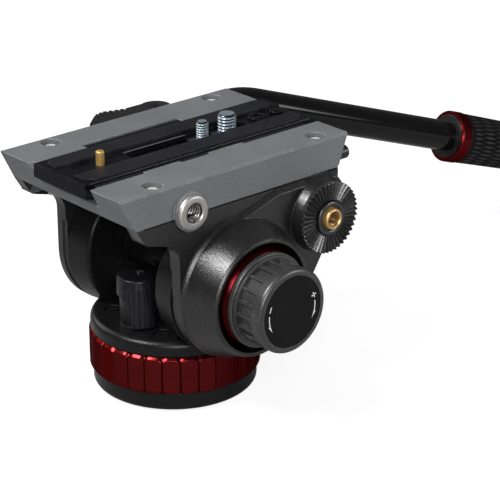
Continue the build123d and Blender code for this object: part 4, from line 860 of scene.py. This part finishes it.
def near_rosette():
    """Toothed face of the near rosette: sharp radial teeth, a groove, and a rounded ring about the insert."""
    low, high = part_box("rosette_right")
    centre = Vector((low.x, rosette_centre.y, rosette_centre.z))
    depth = high.x - low.x
    face = depth - insert_ring_rise
    reach = (high.z - low.z) / 2
    steps = rosette_teeth * tooth_steps

    def spot(radius, way, n):
        """Place on the rosette, at one of the steps round it."""
        turn = tau * n / steps
        return centre + Vector((way, radius * math.cos(turn), radius * math.sin(turn)))

    def toothed_row(radius, drop=0.0):
        """Places on the teeth at a radius; the teeth are deeper further out."""
        share = radius / reach
        row = []
        for n in range(steps):
            phase = ((n + tooth_steps // 2) % tooth_steps) / tooth_steps
            hill = min(1.0, (1 - abs(2 * phase - 1)) * tooth_flat)
            way = face - drop - rosette_fall * (1 - share) - tooth_depth * share * (1 - hill)
            row.append(spot(radius, way, n))
        return row

    def plain_row(radius, way):
        return [spot(radius, way, n) for n in range(steps)]

    rows = [plain_row(rosette_bore, rosette_floor), plain_row(reach, rosette_floor),
            plain_row(reach, rosette_rim), toothed_row(reach, rosette_rim_drop),
            toothed_row(reach - rosette_rim_inset)]
    rows += [toothed_row(reach - (reach - teeth_inner) * share) for share in (0.25, 0.5, 0.75, 1.0)]
    rows += [plain_row(radius * mm, depth - drop * mm) for radius, drop in rosette_groove]
    for degrees in range(20, 161, 20):
        angle = math.radians(degrees)
        rows.append(plain_row(insert_ring_middle + insert_ring_half * math.cos(angle),
                              depth - insert_ring_sink + insert_ring_round * math.sin(angle)))
    rows += [plain_row(radius * mm, depth - drop * mm) for radius, drop in rosette_mouth]
    bm = bmesh.new()
    skin(bm, rows, open_start=True, open_end=True)
    teeth = new_piece("rosette_teeth_near", bm, "tilt_frame", rosette_black, 20)
    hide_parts("rosette_right")


def base_thread():
    """V thread wound in the steel insert of the base. It fades in at both ends."""
    start = Vector((0, 0, base_thread_start))
    first, second = basis(up)
    steps = 28
    count = int((base_thread_length - wide_screw_pitch) / wide_screw_pitch * steps)
    half = wide_screw_pitch * base_thread_half
    foot = base_thread_radius + base_thread_sink
    bm = bmesh.new()
    rows = []
    for n in range(count + 1):
        angle = tau * n / steps
        way = wide_screw_pitch * n / steps + wide_screw_pitch / 2
        fade = min(1.0, n / steps * 2, (count - n) / steps * 2)
        spoke = first * math.cos(angle) + second * math.sin(angle)
        crest = base_thread_radius - base_thread_depth * fade
        rows.append([bm.verts.new(start + up * (way + side * half) + spoke * reach)
                     for side, reach in ((-1, foot), (0, crest), (1, foot))])
    join_rings(bm, rows)
    bm.faces.new(rows[0])
    bm.faces.new(reversed(rows[-1]))
    new_piece("base_insert_thread", bm, "base", plain_steel)


def ribbed_ring():
    """Red drag ring: flat lands parted by V grooves, which open into notches at both chamfers."""
    low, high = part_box("pan_drag_ring")
    reach = (high.x - low.x) / 2
    land = 360 / ring_lands
    levels = [low.z + d * mm for d in ring_foot_levels] + [high.z - d * mm for d in ring_head_levels]
    turns = [land * n + d for n in range(ring_lands) for d in ring_angles]

    def land_radius(degrees, height):
        """Radius of the outside, at an angle within a land."""
        from_middle = abs(degrees - land / 2)
        from_groove = min(degrees, land - degrees)
        flat = reach * math.cos(math.radians(land / 2)) / math.cos(math.radians(from_middle))
        notch = max(0.0, 1 - (height - low.z) / foot_notch_height) * foot_notch_share
        groove = max(0.0, 1 - from_groove / (land_groove_half + foot_notch_wider * notch))
        cut = flat - (land_groove_depth + foot_notch_deeper * notch) * groove
        head = ring_head_chamfer + ring_notch_drop * max(0.0, 1 - from_groove / ring_notch_half)
        limit = reach - max(0.0, head - (high.z - height)) - max(0.0, ring_foot_chamfer - (height - low.z))
        return min(cut, limit)

    def ring_row(height, inside=False):
        """Places round the ring at one height, on its outside or in its bore."""
        row = []
        for turn in turns:
            radius = ring_bore if inside else land_radius(turn % land, height)
            angle = math.radians(turn)
            row.append(Vector((radius * math.cos(angle), radius * math.sin(angle), height)))
        return row

    rows = [ring_row(low.z, inside=True)] + [ring_row(level) for level in levels]
    rows += [ring_row(high.z, inside=True), ring_row(low.z, inside=True)]
    bm = bmesh.new()
    skin(bm, rows, open_start=True, open_end=True)
    bmesh.ops.remove_doubles(bm, verts=bm.verts, dist=0.002 * mm)
    lands = new_piece("drag_ring_lands", bm, "drag_ring", ring_red, 16)
    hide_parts("pan_drag_ring")


def trim_cone():
    """Red cone that fills the boss round the knob, close behind the knob's flange."""
    bm = bmesh.new()
    profile = [(radius * mm, way * mm) for radius, way in trim_profile]
    skin(bm, profile_rows(tilt_centre, right, profile, 120), open_start=True, open_end=True)
    bmesh.ops.remove_doubles(bm, verts=bm.verts, dist=0.002 * mm)
    cone = new_piece("drag_trim_cone", bm, "tilt_frame", trim_red)
    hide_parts("drag_trim_ring")


def rounding(radius, depth):
    """How far a rounded edge stands back, at a depth under its face."""
    left = max(0.0, radius - depth)
    return radius - math.sqrt(max(0.0, radius ** 2 - left ** 2))


def steps_down(start, step, end):
    """Heights in even steps down from a start, as far as they're above an end."""
    return [start - step * n for n in range(math.ceil((start - end) / step))]


def lock_lever():
    """Pan lock lever: round head, a ridged thumb tab that hangs below it, and a plain collar behind it."""
    low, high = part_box("pan_lock_lever")
    centre = Vector((0, -lock_reach, 0))
    top, bottom = high.z, low.z
    steps = 720
    round_degrees = [(n * 360 / steps + 180) % 360 - 180 for n in range(steps)]

    def spot(degrees, radius, height):
        turn = math.radians(degrees)
        return centre + Vector((radius * math.cos(turn), radius * math.sin(turn), height))

    def tab_share(degrees, height):
        """How far a place is inside the tab, from 0 to 1."""
        fall = clamp((top - height) / (top - bottom))
        start = tab_start if height > lock_head_foot else tab_foot_start
        inside = min(degrees - start, tab_end - tab_taper * fall - degrees)
        return clamp(inside / tab_fade + 0.5)

    def reach_at(degrees, height):
        """Radius of the lever at an angle and a height."""
        fall = clamp((top - height) / (top - bottom))
        share = tab_share(degrees, height)
        plain = lock_head_radius if height > lock_head_foot else lock_collar_radius
        swell = clamp((top - swell_top - height) / swell_run)
        swell = swell * swell * (3 - 2 * swell)
        tab = lock_head_radius + tab_rise + tab_swell * swell + tab_lean * fall
        groove = max(0.0, 1 - abs((degrees + flute_shift) % flute_pitch - flute_pitch / 2))
        groove *= clamp((top - flute_top - height) / flute_run)
        reach = plain + (tab - plain) * share - groove * flute_depth * share
        return reach - rounding(lock_top_round, top - height) - rounding(lock_foot_round, height - bottom)

    levels = [top - lock_top_round * (1 - math.cos(math.radians(a))) for a in (0, 30, 50, 65, 80, 90)]
    levels += steps_down(top - 1.4 * mm, 0.5 * mm, lock_head_foot + 0.3 * mm)
    levels += [lock_head_foot + 0.05 * mm, lock_head_foot - 0.05 * mm]
    levels += steps_down(lock_head_foot - 0.7 * mm, 0.7 * mm, bottom + 0.7 * mm)
    levels += [bottom + lock_foot_round, bottom + 0.3 * mm, bottom + 0.1 * mm, bottom]
    rows = [[spot(degrees, radius * mm, top - depth * mm) for degrees in round_degrees]
            for radius, depth in lock_hole]
    for level in levels:
        row = []
        for degrees in round_degrees:
            height = level if tab_share(degrees, level) >= 0.5 else max(level, lock_collar_foot)
            row.append(spot(degrees, reach_at(degrees, height), height))
        rows.append(row)
    rows.append([Vector((centre.x + (edge.x - centre.x) * lock_foot_inset,
                         centre.y + (edge.y - centre.y) * lock_foot_inset, edge.z)) for edge in rows[-1]])
    bm = bmesh.new()
    skin(bm, rows, open_end=True)
    bmesh.ops.remove_doubles(bm, verts=bm.verts, dist=0.004 * mm)
    moulding = new_piece("pan_lock_moulding", bm, "pan_lock", lock_plastic, 24)
    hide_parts("pan_lock_lever", "pan_lock_screw")


def flat_shape(bm, corners, face_x, height):
    """A thin raised shape on the face of the drag knob, from (y, z) corners round the knob's centre."""
    back = [bm.verts.new((face_x, y, z + tilt_centre.z)) for y, z in corners]
    front = [bm.verts.new((face_x + height, y, z + tilt_centre.z)) for y, z in corners]
    bm.faces.new(back)
    bm.faces.new(front)
    join_rings(bm, (back, front))


def clock(radius, angle):
    """Place on the knob's face at an angle from its top, to the rear."""
    return radius * math.sin(math.radians(angle)), radius * math.cos(math.radians(angle))


def knob_marks():
    """Minus, plus and two turn arrows on the face of the drag knob."""
    face_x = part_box("drag_knob_label")[1].x
    half = mark_line / 2
    bm = bmesh.new()
    for side in (-1, 1):
        middle = clock(mark_ring_radius, side * mark_sign_angle)
        spoke = Vector(middle).normalized()
        across = Vector((-spoke.y, spoke.x))
        bars = [(across, spoke)] if side < 0 else [(across, spoke), (spoke, across)]
        for along, wide in bars:
            corners = [Vector(middle) + along * a * mark_sign_length / 2 + wide * b * half
                       for a, b in ((-1, -1), (1, -1), (1, 1), (-1, 1))]
            flat_shape(bm, [tuple(c) for c in corners], face_x, mark_height)
        arc = [mark_arrow_start + (mark_arrow_end - mark_arrow_start) * n / mark_arrow_steps
               for n in range(mark_arrow_steps + 1)]
        outer = [clock(mark_ring_radius + half, side * a) for a in arc]
        inner = [clock(mark_ring_radius - half, side * a) for a in arc]
        for n in range(mark_arrow_steps):
            flat_shape(bm, [outer[n], outer[n + 1], inner[n + 1], inner[n]], face_x, mark_height)
        tip = clock(mark_ring_radius - half, side * mark_tip_angle)
        barb = clock(mark_ring_radius + mark_barb_out, side * mark_barb_angle)
        heel = clock(mark_ring_radius - half, side * (mark_arrow_end - mark_heel_back))
        flat_shape(bm, [barb, tip, heel], face_x, mark_tip_height)
    new_piece("knob_turn_marks", bm, "drag_knob", mark_white)


def bar_line():
    """Corner of the pan bar and the direction of its long run."""
    run = (bar_corner_reach - rosette_centre.y) / math.cos(bar_rise_angle)
    corner = Vector((-bar_plane, rosette_centre.y, rosette_centre.z)) + Vector(
        (0, math.cos(bar_rise_angle), math.sin(bar_rise_angle))) * run
    level = math.cos(bar_fall_angle)
    return corner, Vector((math.sin(bar_turn_in_angle) * level, math.cos(bar_turn_in_angle) * level,
                           -math.sin(bar_fall_angle)))


def knurled_sleeve():
    """Rubber grip with long flat-topped diamonds between crossing grooves, waisted in the middle."""
    corner, axis = bar_line()
    first, second = basis(axis)
    start = corner + axis * grip_start
    last = knurl_rows + 1
    step = (grip_length - 2 * grip_plain) / (knurl_rows - 1 + 2 * knurl_end_share)
    bm = bmesh.new()

    def foot_radius(way):
        """Radius at the foot of the diamonds, at a way along the grip."""
        return grip_radius - grip_waist * math.sin(math.pi * way / grip_length) - knurl_sink

    def spot(way, turn, radius):
        """Corner at a way along the grip; a whole turn counts as many as there are columns."""
        angle = tau * turn / knurl_columns
        spoke = first * math.cos(angle) + second * math.sin(angle)
        return bm.verts.new(start + axis * way + spoke * radius)

    def ring(way, radius):
        return [spot(way, n, radius) for n in range(knurl_columns)]

    end_profile = ((0, grip_core_radius), (0, grip_radius - grip_chamfer),
                   (grip_lead, grip_radius - grip_lead_drop), (grip_plain, foot_radius(grip_plain)))
    near_end = [ring(way, radius) for way, radius in end_profile]
    join_rings(bm, near_end)
    far_end = [ring(grip_length - way, radius) for way, radius in reversed(end_profile)]
    join_rings(bm, far_end)

    # Row 0 and the last row are the plain ends. Between them each odd row stands half a diamond aside.
    ways = [grip_plain] + [grip_plain + step * (row - 1 + knurl_end_share) for row in range(1, last)]
    ways.append(grip_length - grip_plain)
    corners = [near_end[-1]]
    for row in range(1, last):
        radius = foot_radius(ways[row])
        corners.append([spot(ways[row], n + 0.5 * (row % 2), radius) for n in range(knurl_columns)])
    corners.append(far_end[0])
    sides = []
    for row in range(1, last):
        way, aside = ways[row], row % 2
        low_way = way - (way - ways[row - 1]) * knurl_flat
        high_way = way + (ways[row + 1] - way) * knurl_flat
        for n in range(knurl_columns):
            # The diamond stands between corner n and the next one of its row
            following, over = (n + 1) % knurl_columns, (n + aside) % knurl_columns
            middle = n + 0.5 + 0.5 * aside
            top = [spot(at, turn, foot_radius(at) + knurl_height) for at, turn in (
                (way, middle - 0.5 * knurl_flat), (low_way, middle),
                (way, middle + 0.5 * knurl_flat), (high_way, middle))]
            foot = [corners[row][n], corners[row - 1][over], corners[row][following], corners[row + 1][over]]
            bm.faces.new(top)
            for k in range(4):
                j = (k + 1) % 4
                sides.append(bm.faces.new((foot[k], foot[j], top[j], top[k])))
    # With an odd number of rows the triangles at both plain ends lie alike
    for n in range(knurl_columns):
        m = (n + 1) % knurl_columns
        sides.append(bm.faces.new((corners[0][n], corners[0][m], corners[1][n])))
        sides.append(bm.faces.new((corners[last][m], corners[last][n], corners[last - 1][n])))
    bm.normal_update()
    # The sides of the diamonds take the darker rubber: painted shade in the grooves.
    for face in sides:
        face.material_index = 1
    piece = new_piece("grip_sleeve", bm, "pan_bar", grip_rubber, 12)
    piece.data.materials.append(grip_groove_shade)
    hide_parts("grip_with_cap")


def grip_ends():
    """Washer in the red ring and the end cap, with a dished face."""
    corner, axis = bar_line()
    bm = bmesh.new()
    profile = [(grip_core_radius, 0), (collar_radius - end_chamfer, 0), (collar_radius, end_chamfer),
               (collar_radius, collar_depth), (grip_core_radius, collar_depth)]
    skin(bm, profile_rows(corner + axis * (grip_start - collar_sink), axis, profile))
    collar = new_piece("grip_washer", bm, "pan_bar", black_plastic)
    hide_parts("grip_with_cap")
    bm = bmesh.new()
    corner_arc = arc_profile(cap_radius - cap_round, cap_length - cap_round, cap_round, 0, 90, 6)
    profile = [(grip_core_radius, 0), (cap_radius - end_chamfer, 0), (cap_radius, end_chamfer)] + corner_arc
    dish = cap_length - cap_dish_depth
    profile += [(cap_dish_radius + cap_dish_slope, cap_length), (cap_dish_radius, dish), (cap_middle, dish)]
    skin(bm, profile_rows(corner + axis * (grip_start + grip_length), axis, profile))
    cap = new_piece("grip_end_cap", bm, "pan_bar", grip_rubber)
    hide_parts("grip_with_cap")


camera_screws()
platform_screw_heads()
wing_seam_shade()
plate_edge_lines()
threaded_bushes()
near_rosette()
base_thread()
ribbed_ring()
trim_cone()
lock_lever()
knob_marks()
knurled_sleeve()
grip_ends()


# Studio

def studio_floor():
    """Pale floor under the base, clear from below, where a pose hangs the pan bar under it."""
    bm = bmesh.new()
    bmesh.ops.create_grid(bm, x_segments=8, y_segments=8, size=floor_half)
    mesh = bpy.data.meshes.new("studio_floor")
    bm.to_mesh(mesh)
    bm.free()
    finish, tree, shader = new_finish("floor_paper", Roughness=0.9)
    paper = use(tree, fine_grain, Grain=2 * mm)
    seen = place(tree, "ShaderNodeLightPath").outputs["Is Camera Ray"]
    shader.inputs["Emission Color"].default_value = (1, 1, 1, 1)
    feed(tree, shader, Base_Color=tint(tree, paper["Mottle"], grey(0.29, 0.29), grey(0.31, 0.31)),
         Emission_Strength=spread(tree, seen, 0.0, 1.0, 0.0, floor_glow),
         Alpha=reckon(tree, "SUBTRACT", 1.0, place(tree, "ShaderNodeNewGeometry").outputs["Backfacing"]))
    mesh.materials.append(finish)
    floor = add_object("studio_floor", mesh)
    floor.location.z = cad_box[0].z


def look_along(thing, way):
    """Turns a lamp or camera to look along a direction."""
    thing.rotation_mode = "QUATERNION"
    thing.rotation_quaternion = way.to_track_quat("-Z", "Y")


def soft_light(name, stand, aim, size, power):
    """A square lamp that stands at one place and is aimed at another."""
    lamp = bpy.data.lights.new(name, "AREA")
    lamp.shape = "RECTANGLE"
    lamp.size = lamp.size_y = size
    lamp.energy = power
    lit = add_object(name, lamp)
    lit.location = stand
    look_along(lit, Vector(aim) - Vector(stand))


def studio_air():
    """Pale surroundings, which light the head less than the lamps do."""
    world = bpy.data.worlds.new("studio_air")
    world.use_nodes = True
    tree = world.node_tree
    seen = place(tree, "ShaderNodeLightPath").outputs["Is Camera Ray"]
    back = tree.nodes["Background"]
    back.inputs["Color"].default_value = (1, 1, 1, 1)
    tree.links.new(spread(tree, seen, 0.0, 1.0, air_strength, 1.0), back.inputs["Strength"])
    bpy.context.scene.world = world
    bpy.context.scene.view_settings.view_transform = "Standard"


def photograph_camera():
    """Camera that shows the head as the photograph does."""
    lens = bpy.data.cameras.new("photograph_camera")
    lens.lens = camera_lens
    lens.sensor_width = camera_sensor
    lens.clip_start, lens.clip_end = 0.05, 50
    camera = add_object("photograph_camera", lens)
    camera.location = camera_place
    back = Vector((math.sin(camera_azimuth) * math.cos(camera_elevation),
                   -math.cos(camera_azimuth) * math.cos(camera_elevation), math.sin(camera_elevation)))
    look_along(camera, -back)
    bpy.context.scene.camera = camera


studio_floor()
studio_air()
soft_light("key_light", stand=(-0.21, -0.9, 1.32), aim=(0, 0, 0.06), size=0.45, power=28)
soft_light("right_light", stand=(0.5, 0.4, 0.3), aim=(0.13, 0.09, 0), size=0.3, power=1.6)
soft_light("camera_side_light", stand=(1.15, -0.85, 0.7), aim=(0, 0, 0.08), size=0.6, power=15)
soft_light("left_light", stand=(-1.3, -0.25, 0.8), aim=(0, 0, 0.06), size=0.9, power=6)
photograph_camera()
